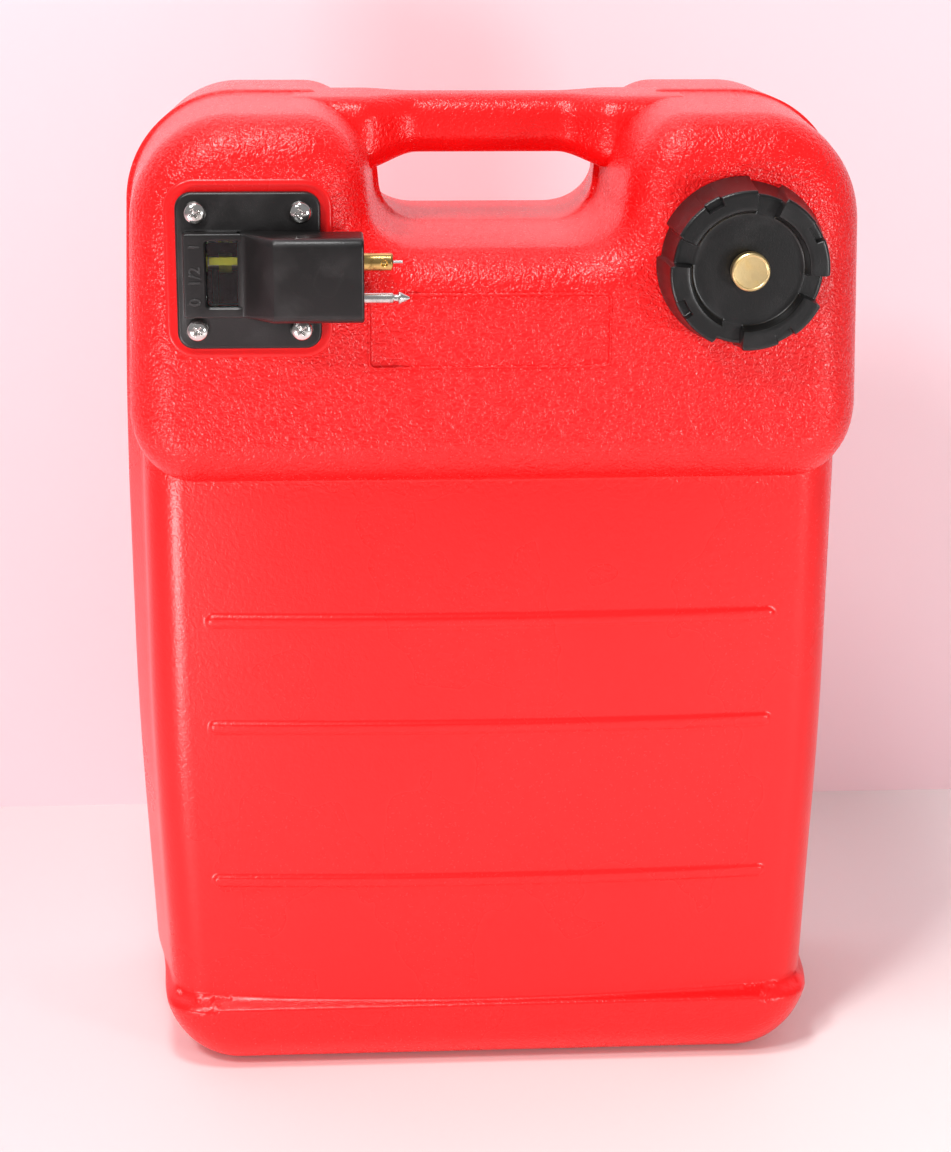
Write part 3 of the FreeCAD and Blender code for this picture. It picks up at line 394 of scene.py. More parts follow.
@dataclass(frozen=True)
class Finishes:
    """Every finish on the tank."""

    red: GrainedPlastic = GrainedPlastic("grained_red_plastic", (0.91, 0.007, 0.008), (0.79, 0.004, 0.005))
    black: MouldedPlastic = MouldedPlastic("satin_black_plastic", (0.007, 0.006, 0.006),
                                           (0.017, 0.015, 0.015), 0.30)
    cap: MouldedPlastic = MouldedPlastic("satin_cap_plastic", (0.005, 0.005, 0.005), (0.012, 0.011, 0.011), 0.28)
    # the raised figures are moulded in the housing's black nylon; their lighter colour is a painted highlight that
    # makes them stand out
    figures_painted_highlight: MouldedPlastic = MouldedPlastic("raised_figures_painted_highlight", (0.035, 0.034, 0.034), (0.075, 0.072, 0.07), 0.22)
    lens: ClearPlastic = ClearPlastic("clear_acrylic")
    rubber: MouldedPlastic = MouldedPlastic("black_seal_rubber", (0.011, 0.011, 0.012), (0.03, 0.03, 0.03), 0.62)
    screw: Metal = Metal("bright_plating", (0.74, 0.73, 0.71), (0.48, 0.46, 0.43), 0.08)
    latch: Metal = Metal("turned_steel", (0.70, 0.69, 0.67), (0.45, 0.44, 0.42), 0.2,
                         (0.0, -0.114, 0.4075), (0.0, 1.0, 1.0))
    pin: Metal = Metal("drawn_steel", (0.60, 0.60, 0.59), (0.40, 0.39, 0.38), 0.26)
    brass: Metal = Metal("brass_tube", (0.66, 0.45, 0.16), (0.34, 0.21, 0.07), 0.16,
                         (0.0, -0.114, 0.424), (0.0, 1.0, 1.0))
    knob: Metal = Metal("brass_knob", (0.86, 0.66, 0.33), (0.66, 0.47, 0.20), 0.3, (0.112, 0.0, 0.4205))
    pointer: MouldedPlastic = MouldedPlastic("yellow_pointer", (0.62, 0.60, 0.03), (0.50, 0.48, 0.04), 0.4)
    float_foam: MouldedPlastic = MouldedPlastic("nitrile_foam", (0.05, 0.035, 0.028), (0.09, 0.07, 0.06), 0.7,
                                                0.0002, 700.0)
    dip_tube: MouldedPlastic = MouldedPlastic("milky_tube", (0.72, 0.71, 0.66), (0.60, 0.57, 0.50), 0.38)

    def dress(self) -> None:
        """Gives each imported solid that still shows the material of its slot."""
        kept = {
            "insert_nuts": self.knob, "gauge_gasket": self.rubber, "pivot_pin": self.pin, "float_arm": self.pin,
            "float_body": self.float_foam, "float_clip": self.pin, "gauge_pointer": self.pointer,
            "pickup_tube": self.dip_tube, "pickup_filter": self.black, "valve_stem": self.pin,
            "valve_spring": self.pin, "spring_seat": self.black, "cap_gasket": self.rubber,
            "cap_liner": self.rubber, "vent_bush": self.black, "vent_o_ring": self.rubber, "vent_clip": self.pin,
        }
        for name, finish in kept.items():
            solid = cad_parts[name]
            if not solid.material_slots:
                solid.data.materials.append(None)
            for holder in solid.material_slots:
                holder.material = finish.material()
            LOG.info("%s: packed solid, wears %s", name, finish.name)


def place(piece: bpy.types.Object, body: str, finish: Finish, slot: str, *nodes: str) -> bpy.types.Object:
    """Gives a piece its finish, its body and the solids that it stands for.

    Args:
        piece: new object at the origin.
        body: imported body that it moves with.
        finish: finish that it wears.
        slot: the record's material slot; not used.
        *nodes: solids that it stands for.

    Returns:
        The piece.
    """
    piece.data.materials.clear()
    piece.data.materials.append(finish.material())
    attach(piece, body)
    if nodes:
        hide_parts(*nodes)
    LOG.info("%s: %d faces, rides on %s", piece.name, len(piece.data.polygons), body)
    return piece


def subtract(target: bpy.types.Object, cutter: bpy.types.Object) -> None:
    """Cuts one closed object out of another for good, and drops the cutter.

    Args:
        target: object that is cut.
        cutter: closed object that is taken away.
    """
    cut = target.modifiers.new("cut", "BOOLEAN")
    cut.operation, cut.solver, cut.object = "DIFFERENCE", "EXACT", cutter
    graph = bpy.context.evaluated_depsgraph_get()
    mesh = bpy.data.meshes.new_from_object(target.evaluated_get(graph), depsgraph=graph)
    target.modifiers.clear()
    target.data = mesh
    bpy.data.objects.remove(cutter)


class Surface:
    """Grids of points gathered into one mesh."""

    def __init__(self) -> None:
        """Starts with no grids."""
        self.points: list[np.ndarray] = []
        self.quads: list[np.ndarray] = []
        self.count = 0

    def add(self, grid: np.ndarray, wrap: bool = False, flip: bool = False,
            keep: np.ndarray | None = None) -> "Surface":
        """Adds a grid of quads.

        Args:
            grid: array of rows, columns and xyz, in millimetres.
            wrap: whether the last column joins the first one.
            flip: whether the faces turn round.
            keep: mask of the cells that stay, one per quad.

        Returns:
            The surface, so that calls can be chained.
        """
        rows, columns = grid.shape[:2]
        index = np.arange(rows * columns).reshape(rows, columns) + self.count
        if wrap:
            index = np.concatenate([index, index[:, :1]], axis=1)
        corners = [index[:-1, :-1], index[:-1, 1:], index[1:, 1:], index[1:, :-1]]
        quads = np.stack(corners[::-1] if flip else corners, axis=-1)
        quads = quads[keep] if keep is not None else quads.reshape(-1, 4)
        self.points.append(grid.reshape(-1, 3))
        self.quads.append(quads.reshape(-1, 4))
        self.count += rows * columns
        return self

    def build(self, name: str, sharp_deg: float = 35.0, outward: bool = False) -> bpy.types.Object:
        """Makes the object, with doubled points merged and smooth shading.

        Args:
            name: the piece's name.
            sharp_deg: edges that turn more than this stay sharp.
            outward: whether the normals of the closed shape are worked out again.

        Returns:
            The object, in the scene, in metres.
        """
        points = np.concatenate(self.points) * MM
        quads = np.concatenate(self.quads)
        mesh = bpy.data.meshes.new(name)
        mesh.vertices.add(len(points))
        mesh.vertices.foreach_set("co", points.astype(np.float32).ravel())
        mesh.loops.add(quads.size)
        mesh.loops.foreach_set("vertex_index", quads.astype(np.int32).ravel())
        mesh.polygons.add(len(quads))
        mesh.polygons.foreach_set("loop_start", np.arange(0, quads.size, 4, dtype=np.int32))
        mesh.update(calc_edges=True)
        shell = bmesh.new()
        shell.from_mesh(mesh)
        bmesh.ops.remove_doubles(shell, verts=shell.verts, dist=2e-6)
        bmesh.ops.dissolve_degenerate(shell, edges=shell.edges, dist=1e-7)
        loose = [v for v in shell.verts if not v.link_faces]
        bmesh.ops.delete(shell, geom=loose, context="VERTS")
        if outward:
            bmesh.ops.recalc_face_normals(shell, faces=shell.faces)
        shell.to_mesh(mesh)
        shell.free()
        mesh.polygons.foreach_set("use_smooth", np.ones(len(mesh.polygons), dtype=bool))
        mesh.set_sharp_from_angle(angle=math.radians(sharp_deg))
        piece = bpy.data.objects.new(name, mesh)
        bpy.context.scene.collection.objects.link(piece)
        return piece


def turned(profile: np.ndarray, steps: int = 64) -> np.ndarray:
    """Turns a profile about the local Z axis: x = r cos a, y = r sin a, z = h.

    Args:
        profile: array of (radius, height) points.
        steps: columns round the axis.

    Returns:
        Grid of rows along the profile and columns round the axis.
    """
    angle = np.linspace(0.0, ROUND, steps, endpoint=False)
    r, h = profile[:, :1], profile[:, 1:]
    return np.stack([r * np.cos(angle), r * np.sin(angle), h * np.ones_like(angle)], axis=-1)


def eased_profile(corners: list[tuple[float, float, float]], steps: int = 5) -> np.ndarray:
    """Profile with each corner rounded by a circle of its own radius.

    Formula: at a corner that turns by 2a, the arc starts r tan a before it and ends
    as far after it.

    Args:
        corners: (radius, height, rounding) points; a rounding of 0 keeps the point.
        steps: points on each arc.

    Returns:
        Array of (radius, height) points.
    """
    xy = np.array([(r, h) for r, h, _ in corners], dtype=float)
    out = [xy[0]]
    for i in range(1, len(corners) - 1):
        rounding = corners[i][2]
        before, after = xy[i] - xy[i - 1], xy[i + 1] - xy[i]
        before, after = before / np.linalg.norm(before), after / np.linalg.norm(after)
        half = 0.5 * math.acos(float(np.clip(before @ after, -1.0, 1.0)))
        if rounding <= 0.0 or half < 1e-4:
            out.append(xy[i])
            continue
        start = xy[i] - before * rounding * math.tan(half)
        inward = after - before
        centre = xy[i] + inward / np.linalg.norm(inward) * rounding / math.cos(half)
        first = start - centre
        turn = math.copysign(2.0 * half, before[0] * after[1] - before[1] * after[0])
        for t in np.linspace(0.0, turn, steps):
            c, s = math.cos(t), math.sin(t)
            out.append(centre + np.array([c * first[0] - s * first[1], s * first[0] + c * first[1]]))
    out.append(xy[-1])
    return np.array(out)


def rounded_rect(half_x: float, half_y: float, radius: float, per_corner: int = 8) -> np.ndarray:
    """Closed loop of a rectangle with round corners, counter-clockwise.

    Args:
        half_x: half the width.
        half_y: half the height.
        radius: corner radius.
        per_corner: points on each corner's arc.

    Returns:
        Array of xy points, the same count for any size.
    """
    radius = max(min(radius, half_x, half_y), 1e-3)
    turn = np.linspace(0.0, 0.5 * math.pi, per_corner)
    arc = np.stack([np.cos(turn), np.sin(turn)], axis=-1) * radius
    loops = []
    for k, (sx, sy) in enumerate(((1, 1), (-1, 1), (-1, -1), (1, -1))):
        c, s = math.cos(k * math.pi / 2), math.sin(k * math.pi / 2)
        rotated = arc @ np.array([[c, s], [-s, c]])
        loops.append(rotated + np.array([sx * (half_x - radius), sy * (half_y - radius)]))
    return np.concatenate(loops)


def stacked(loops: list[tuple[np.ndarray, float]]) -> np.ndarray:
    """Stacks flat loops of equal length at their heights into one grid.

    Args:
        loops: (loop of xy points, height) pairs.

    Returns:
        Grid of one row per loop.
    """
    return np.stack([np.concatenate([xy, np.full((len(xy), 1), h)], axis=1) for xy, h in loops])


def capped(rows: list[np.ndarray]) -> np.ndarray:
    """Closes a stack of loops with a point in the middle of its first and its last loop.

    Args:
        rows: loops of xyz points, all of the same length.

    Returns:
        Grid of one row per loop and one for each end.
    """
    first, last = (row * 0.0 + row.mean(axis=0) for row in (rows[0], rows[-1]))
    return np.stack([first, *rows, last])


def from_front(grid: np.ndarray, x: float, z: float, face_y: float) -> np.ndarray:
    """Turns a local grid so that its +Z points out of the front at (x, z).

    Args:
        grid: points with local xyz.
        x: place of the local origin.
        z: place of the local origin.
        face_y: place of the local origin.

    Returns:
        Grid in the row's frame.
    """
    return np.stack([grid[..., 0] + x, face_y - grid[..., 2], grid[..., 1] + z], axis=-1)


def along_x(grid: np.ndarray, x: float, y: float, z: float) -> np.ndarray:
    """Turns a local grid so that its +Z points along +X from (x, y, z).

    Args:
        grid: points with local xyz.
        x: place of the local origin.
        y: place of the local origin.
        z: place of the local origin.

    Returns:
        Grid in the row's frame.
    """
    return np.stack([grid[..., 2] + x, grid[..., 1] + y, z - grid[..., 0]], axis=-1)


@dataclass(frozen=True)
class Outline:
    """Closed outline of straight runs joined by arcs, counter-clockwise from the front."""

    corners: tuple[tuple[float, float, float], ...]

    def elements(self) -> list[tuple[str, np.ndarray, np.ndarray, float, bool]]:
        """Runs and arcs of the outline.

        Returns:
            ("run", start, end, 0, True) and ("arc", centre, middle direction, radius, convex).
        """
        xy = np.array([(x, z) for x, z, _ in self.corners])
        count = len(xy)
        ahead = np.roll(xy, -1, axis=0) - xy
        ahead /= np.linalg.norm(ahead, axis=1, keepdims=True)
        stops = []
        for i in range(count):
            before, after, radius = ahead[i - 1], ahead[i], self.corners[i][2]
            half = 0.5 * math.acos(float(np.clip(before @ after, -1.0, 1.0)))
            inward = (after - before) / np.linalg.norm(after - before)
            run = radius * math.tan(half)
            convex = before[0] * after[1] - before[1] * after[0] > 0
            centre = xy[i] + inward * radius / math.cos(half)
            stops.append((xy[i] - before * run, xy[i] + after * run, centre, -inward, radius, convex, half))
        found = []
        for i in range(count):
            start, end, centre, middle, radius, convex, half = stops[i]
            found.append(("run", stops[i - 1][1], start, 0.0, True))
            found.append(("arc", centre, middle * math.cos(half), radius, convex))
        return found

    def distance(self, x: np.ndarray, z: np.ndarray) -> tuple[np.ndarray, np.ndarray, np.ndarray]:
        """Distance inside the outline, and the inward direction.

        Formula: the element with the smallest distance counts. On a run it is the offset
        to the left of it, and on an arc the radius less the distance from its centre, or
        the other way round where the arc is hollow.

        Args:
            x: places across.
            z: places up.

        Returns:
            Distance (negative outside), and the inward normal's x and z.
        """
        p = np.stack([x, z], axis=-1)
        best = np.full(x.shape, np.inf)
        signed, normal_x, normal_z = np.zeros(x.shape), np.zeros(x.shape), np.zeros(x.shape)
        for kind, a, b, radius, convex in self.elements():
            if kind == "run":
                ahead = b - a
                length = np.linalg.norm(ahead)
                ahead = ahead / length
                left = np.array([-ahead[1], ahead[0]])
                offset = (p - a) @ left
                beyond = np.maximum(np.maximum(-((p - a) @ ahead), (p - a) @ ahead - length), 0.0)
                reach = np.hypot(offset, beyond)
                nx, nz = np.full(x.shape, left[0]), np.full(x.shape, left[1])
            else:
                rel = p - a
                away = np.maximum(np.linalg.norm(rel, axis=-1), 1e-9)
                cosine = np.linalg.norm(b)
                inside = (rel @ (b / cosine)) / away >= cosine - 1e-9
                offset = radius - away if convex else away - radius
                reach = np.where(inside, np.abs(offset), np.inf)
                sign = -1.0 if convex else 1.0
                nx, nz = sign * rel[..., 0] / away, sign * rel[..., 1] / away
            nearer = reach < best
            best = np.where(nearer, reach, best)
            signed = np.where(nearer, offset, signed)
            normal_x, normal_z = np.where(nearer, nx, normal_x), np.where(nearer, nz, normal_z)
        return signed, normal_x, normal_z

    def chain(self, step: float = 0.5) -> np.ndarray:
        """Closely spaced points along the whole outline, from the first run's start.

        Args:
            step: spacing.

        Returns:
            Array of xz points.
        """
        points = []
        for kind, a, b, radius, convex in self.elements():
            if kind == "run":
                count = max(2, int(np.linalg.norm(b - a) / step))
                points.append(a + (b - a) * np.linspace(0, 1, count)[:, None])
            else:
                cosine = np.linalg.norm(b)
                middle = math.atan2(b[1], b[0])
                half = math.acos(min(1.0, cosine))
                sweep = half if convex else -half
                angle = np.linspace(middle - sweep, middle + sweep, max(5, int(2 * half * radius / step)))
                points.append(a + radius * np.stack([np.cos(angle), np.sin(angle)], axis=-1))
        return np.concatenate(points)


@dataclass(frozen=True)
class TankSizes:
    """Sizes of the moulding, in millimetres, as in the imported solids."""

    height: float = 488.0
    base_z: float = 0.6
    half_base: float = 171.0
    half_hip: float = 179.0
    half_middle: float = 180.0
    half_top: float = 174.5
    hip_z: float = 170.0
    middle_z: float = 330.0
    base_corner: float = 46.0
    top_corner: float = 54.0
    hip_radius: float = 2011.0
    middle_radius: float = 2484.0
    notch_floor: float = 51.0
    notch_top: float = 57.0
    notch_z: float = 425.0
    notch_corner: float = 20.0
    lobe: float = 36.0
    shoulder_z: float = 312.0
    shoulder_corner: float = 37.0
    shoulder_depth: float = 97.0
    shoulder_round: float = 24.0
    shoulder_step: float = 2.5
    shoulder_draft: float = 7.0
    panel_depth: float = 75.0
    panel_round: float = 19.0
    panel_draft: float = 12.0
    bow_radius: float = 1878.0
    rim_draft: float = 8.5
    rim_top_depth: float = 2.0
    rim_slope: float = 0.0941
    band_z: float = 37.0
    band_depth: float = 79.0
    band_round: float = 21.0
    back_depth: float = 88.0
    back_draft: float = 8.0
    back_round: float = 24.0
    bead_levels: tuple[float, ...] = (240.0, 185.0, 103.0)
    bead_half_length: float = 139.8
    bead_half_height: float = 3.25
    bead_proud: float = 1.5
    recess: tuple[float, float, float, float] = (-59.8, 52.0, 371.5, 405.5)
    recess_deep: float = 0.7


def drafted(d: np.ndarray, low: tuple[np.ndarray, np.ndarray], high: tuple[np.ndarray, np.ndarray],
            rounding: float) -> np.ndarray:
    """Height of a drafted wall that turns through an arc into a flat face.

    Formula: a straight line from low to high, then a circle of the given radius that is
    tangent to the line and to the face, then the face's own height.

    Args:
        d: distance inside the outline.
        low: distance and height where the line starts.
        high: distance at which the line would meet the face, and the face's height.
        rounding: radius of the arc.

    Returns:
        Heights.
    """
    d0, h0 = low
    d1, h1 = high
    slope = np.arctan2(h1 - h0, np.maximum(d1 - d0, 1e-3))
    centre = d1 + rounding * np.tan(slope / 2.0)
    tangent = centre - rounding * np.sin(slope)
    arc = h1 - rounding + np.sqrt(np.maximum(rounding ** 2 - np.clip(centre - d, 0.0, rounding) ** 2, 0.0))
    line = h0 + (d - d0) * np.tan(slope)
    return np.where(d >= centre, h1, np.where(d >= tangent, arc, line))


@dataclass(frozen=True)
class Density:
    """How many grid columns each stretch of the outline gets, and how far apart the rows are."""

    corner: int
    top: int
    lobe: int
    flank: int
    floor_arc: int
    floor_run: int
    pitch: float

    @property
    def base(self) -> int:
        """Columns along the base: as many as along the top, the lobe and the notch."""
        return self.top + self.lobe + self.flank + self.floor_arc + self.floor_run


class Fineness(Enum):
    """The two densities of the skin's grid."""

    OUTSIDE = Density(16, 10, 18, 4, 24, 14, 1.0)
    INSIDE = Density(6, 3, 7, 2, 8, 5, 3.2)


class TankSkin:
    """The moulding's skin: depth as a function of place, on two grids joined at the parting line."""

    RING = ((0.0, 0.0), (1.2, 0.0), (2.5, 0.0), (3.4, 0.0), (4.4, 0.1), (5.4, 0.2), (6.4, 0.4), (7.4, 0.8),
            (8.5, 1.3), (9.4, 2.2), (10.3, 3.4), (11.2, 5.0), (11.7, 7.0), (12.0, 9.4), (12.0, 12.2), (12.0, 15.0),
            (12.0, 18.0))
    REACH = 30.0
    NOWHERE = -50.0
    LOBE_Z = 440.0

    def __init__(self, sizes: TankSizes, fineness: Fineness = Fineness.OUTSIDE) -> None:
        """Works out the outlines.

        Args:
            sizes: sizes of the moulding.
            fineness: how closely the grid is spaced.
        """
        self.sizes = s = sizes
        self.density = fineness.value
        notch = ((s.notch_top, s.height, s.lobe), (s.notch_floor, s.notch_z, s.notch_corner),
                 (-s.notch_floor, s.notch_z, s.notch_corner), (-s.notch_top, s.height, s.lobe))
        self.outline = Outline((
            (-s.half_base, s.base_z, s.base_corner), (s.half_base, s.base_z, s.base_corner),
            (s.half_hip, s.hip_z, s.hip_radius), (s.half_middle, s.middle_z, s.middle_radius),
            (s.half_top, s.height, s.top_corner), *notch, (-s.half_top, s.height, s.top_corner),
            (-s.half_middle, s.middle_z, s.middle_radius), (-s.half_hip, s.hip_z, s.hip_radius)))
        self.shoulder = Outline((
            (-s.half_middle, s.shoulder_z, s.shoulder_corner), (s.half_middle, s.shoulder_z, s.shoulder_corner),
            (s.half_top, s.height, s.top_corner), *notch, (-s.half_top, s.height, s.top_corner)))

    def side_x(self, z: np.ndarray) -> np.ndarray:
        """Half width of the side at a height: the rightmost place of the outline there.

        Args:
            z: heights between the base's and the top's corner arcs.

        Returns:
            Half widths.
        """
        chain = self.outline.chain()
        side = chain[(chain[:, 0] > 120.0) & (chain[:, 1] > 40.0) & (chain[:, 1] < 450.0)]
        side = side[np.argsort(side[:, 1])]
        return np.interp(z, side[:, 1], side[:, 0])

    def right_half(self) -> tuple[np.ndarray, int, int]:
        """Outline points from the middle of the base round the right side to the middle of the notch.

        Returns:
            Points, and the indices of the two corners' middles.
        """
        elements = self.outline.elements()
        arcs = [e for e in elements if e[0] == "arc"]
        runs = [e for e in elements if e[0] == "run"]

        def arc(i: int, count: int) -> np.ndarray:
            """Points along an arc, without the last.

            Args:
                i: which arc.
                count: how many steps.

            Returns:
                Array of xz points.
            """
            _, centre, middle, radius, convex = arcs[i]
            half = math.acos(min(1.0, float(np.linalg.norm(middle))))
            mid = math.atan2(middle[1], middle[0])
            sweep = half if convex else -half
            angle = np.linspace(mid - sweep, mid + sweep, count + 1)[:-1]
            return centre + radius * np.stack([np.cos(angle), np.sin(angle)], axis=-1)

        def run(a: np.ndarray, b: np.ndarray, count: int) -> np.ndarray:
            """Points from a to b, without the last."""
            return a + (b - a) * np.linspace(0.0, 1.0, count + 1)[:-1, None]

        n = self.density
        base = run(np.array([0.0, self.sizes.base_z]), runs[1][2], n.base)
        stops = ((float(runs[2][1][1]), 6.0), (97.5, 0.9), (108.5, 6.5), (179.5, 0.9), (190.5, 6.5), (234.5, 0.9),
                 (245.5, 6.0), (300.0, 3.0), (310.0, 0.8), (318.0, 1.6), (340.0, 3.2), (float(runs[4][2][1]), 3.2))
        levels = spaced(*((z, gap * n.pitch) for z, gap in stops))[:-1]
        side = np.stack([self.side_x(levels), levels], axis=-1)
        side[0] = runs[2][1]
        top = [arc(4, 2 * n.corner), run(runs[5][1], runs[5][2], n.top), arc(5, n.lobe),
               run(runs[6][1], runs[6][2], n.flank), arc(6, n.floor_arc),
               run(runs[7][1], np.array([0.0, self.sizes.notch_z]), n.floor_run),
               np.array([[0.0, self.sizes.notch_z]])]
        points = np.concatenate([base, arc(1, 2 * n.corner), side] + top)
        low = n.base + n.corner
        high = n.base + 3 * n.corner + len(levels)
        return points, low, high

    def share(self, normal_x: np.ndarray, normal_z: np.ndarray, z: np.ndarray) -> np.ndarray:
        """Share of the draft that the wall takes: all of it on the sides, less above and below.

        Formula: nx squared + k nz squared, with k larger on the top edge than in the notch.

        Args:
            normal_x: inward normal across.
            normal_z: inward normal up.
            z: places up.

        Returns:
            Shares from 0 to 1.
        """
        facing_up = np.where(z > self.LOBE_Z, 0.3, 0.15)
        k = np.where(normal_z > 0.0, 0.08, facing_up)
        return normal_x ** 2 + k * normal_z ** 2

    def crease_bend(self, x: np.ndarray, z: np.ndarray) -> np.ndarray:
        """Heights moved so that one row of the grid runs along the shoulder's lower edge.

        Formula: z plus the rise of the corner's circle at that x, faded out above and below.

        Args:
            x: places across.
            z: places up.

        Returns:
            Moved heights.
        """
        s = self.sizes
        start = s.half_middle - s.shoulder_corner
        past = np.clip(np.abs(x) - start, 0.0, s.shoulder_corner)
        rise = s.shoulder_corner - np.sqrt(s.shoulder_corner ** 2 - past ** 2)
        fade = smoothstep(250.0, 312.0, z) * (1.0 - smoothstep(316.0, 430.0, z))
        return z + rise * fade

    def front(self, x: np.ndarray, z: np.ndarray, d: np.ndarray, share: np.ndarray) -> np.ndarray:
        """Depth of the front: the largest of panel, shoulder and foot band, with soft valleys.

        Args:
            x: places across.
            z: places up.
            d: distance inside the outline.
            share: share of the draft.

        Returns:
            Depths in front of the parting plane.
        """
        s = self.sizes
        rim = s.rim_top_depth + (s.height - z) * s.rim_slope
        crown = s.panel_depth - x ** 2 / (2.0 * s.bow_radius)
        bump = np.zeros(x.shape)
        for level in s.bead_levels:
            along = np.maximum(np.abs(x) - (s.bead_half_length - s.bead_half_height), 0.0)
            inside = s.bead_half_height - np.hypot(along, z - level)
            bump = np.maximum(bump, s.bead_proud * np.sqrt(1.0 - (1.0 - np.clip(inside / 2.2, 0.0, 1.0)) ** 2))
        wall = drafted(d, (s.rim_draft * share, rim), (s.panel_draft * share, crown), s.panel_round)
        edge = d / np.maximum(s.rim_draft * share, 1e-3) * rim
        panel = np.where(d < s.rim_draft * share, edge, wall) + bump
        inside, nx, nz = self.shoulder.distance(x, z)
        own = nx ** 2 + np.where(nz > 0.0, 0.02, np.where(z > self.LOBE_Z, 0.3, 0.15)) * nz ** 2
        zero = np.zeros(x.shape)
        bulge = drafted(inside, (s.shoulder_step * own, zero), (s.shoulder_draft * own, zero + s.shoulder_depth),
                        s.shoulder_round)
        left, right, low, high = s.recess
        hollow = np.minimum(np.minimum(x - left, right - x), np.minimum(z - low, high - z))
        bulge = np.where(inside < s.shoulder_step * own, self.NOWHERE, bulge)
        bulge = bulge - s.recess_deep * smoothstep(-0.8, 0.8, hollow)
        foot = drafted(d, (s.shoulder_step * share, zero), (s.shoulder_draft * share, zero + s.band_depth),
                       s.band_round)
        foot = np.where((z < s.band_z + 1.5) & (d > s.shoulder_step * share),
                        foot - 7.0 * smoothstep(s.band_z - 2.5, s.band_z + 1.5, z), self.NOWHERE)
        return smooth_max(smooth_max(panel, foot, 1.2), bulge, 5.0)

    def back(self, d: np.ndarray, share: np.ndarray) -> np.ndarray:
        """Depth of the back: one drafted wall with a rounded edge and a flat face.

        Args:
            d: distance inside the outline.
            share: share of the draft.

        Returns:
            Depths behind the parting plane.
        """
        s = self.sizes
        zero = np.zeros(d.shape)
        return drafted(d, (zero, zero), (s.back_draft * share, zero + s.back_depth), s.back_round)

    def grids(self) -> tuple[list[np.ndarray], list[np.ndarray]]:
        """Plan of the grids: a ring that follows the outline and the patch inside it.

        Formula: a ring point is the outline plus the inward normal times a distance. The
        patch is straight rows between the sides plus what the base and the top still lack,
        each faded out over its own height.

        Returns:
            Ring (levels by places round) and patch (rows by columns), each as x, z, distance
            and draft share.
        """
        half, low, high = self.right_half()
        count = len(half)
        _, nx, nz = self.outline.distance(half[:, 0], half[:, 1])
        nx[0] = nx[-1] = 0.0
        share = self.share(nx, nz, half[:, 1])
        a, b = np.array(self.RING).T
        d = share[None, :] * a[:, None] + (self.REACH - 12.0 * share[None, :]) * (b / b[-1])[:, None]
        x = half[None, :, 0] + nx[None, :] * d
        z = half[None, :, 1] + nz[None, :] * d
        tail = x[-1], z[-1]
        top_x, top_z = tail[0][high:][::-1], tail[1][high:][::-1]
        step = np.hypot(np.diff(top_x), np.diff(top_z))
        flat = np.abs(np.diff(top_x)) / np.maximum(step, 1e-6)
        g = np.concatenate([[0.0], np.cumsum((0.3 + 0.7 * flat) * step)])
        g = g / g[-1]
        straight = self.density.base + 1
        x[:, :straight] = half[None, straight - 1, 0] * (g[:straight] / g[straight - 1])[None, :]
        x_all = np.concatenate([x, -x[:, -2:0:-1]], axis=1)
        z_all = np.concatenate([z, z[:, -2:0:-1]], axis=1)
        d_all = np.concatenate([d, d[:, -2:0:-1]], axis=1)
        share_all = np.concatenate([share, share[-2:0:-1]])[None, :] * np.ones((len(a), 1))

        side_x, side_z = x[-1, low:high + 1], z[-1, low:high + 1]
        base_x, base_z = x[-1, :low + 1], z[-1, :low + 1]

        def full(half_row: np.ndarray, sign: float) -> np.ndarray:
            """Whole row from its right half; a sign of -1 mirrors it."""
            return np.concatenate([sign * half_row[:0:-1], half_row])

        g_full = full(g, -1.0)
        rows_x = side_x[:, None] * g_full[None, :]
        rows_z = side_z[:, None] * np.ones_like(g_full)[None, :]
        low_fade, high_from, ease = 60.0, 320.0, 1.5
        t0 = np.clip(1.0 - (side_z - side_z[0]) / low_fade, 0.0, 1.0)[:, None] ** ease
        t1 = np.clip((side_z - high_from) / (side_z[-1] - high_from), 0.0, 1.0)[:, None] ** ease
        patch_x = rows_x + t0 * (full(base_x, -1.0) - rows_x[0]) + t1 * (full(top_x, -1.0) - rows_x[-1])
        patch_z = rows_z + t0 * (full(base_z, 1.0) - rows_z[0]) + t1 * (full(top_z, 1.0) - rows_z[-1])
        found = []
        for px, pz, is_ring in ((x_all, z_all, True), (patch_x, patch_z, False)):
            bent = self.crease_bend(px, pz)
            moved = px + np.sign(px) * (self.side_x(bent) - self.side_x(pz)) * np.where(bent != pz, 1.0, 0.0)
            if is_ring:
                found.append([moved, bent, d_all, share_all])
            else:
                inside, nx, nz = self.outline.distance(moved, bent)
                found.append([moved, bent, inside, self.share(nx, nz, bent)])
        found[1][2][0], found[1][2][-1] = self.REACH, self.REACH
        return found[0], found[1]

    def build(self, name: str) -> bpy.types.Object:
        """Builds the closed skin: both halves over the same two plan grids.

        Args:
            name: the piece's name.

        Returns:
            The skin.
        """
        surface = Surface()
        for half in Side:
            for (x, z, d, share), wrap in zip(self.grids(), (True, False)):
                depth = self.front(x, z, d, share) if half is Side.FRONT else self.back(d, share)
                y = half.value * np.where(d <= 0.0, 0.0, depth)
                surface.add(np.stack([x, y, z], axis=-1), wrap=wrap)
        return surface.build(name, sharp_deg=180.0, outward=True)


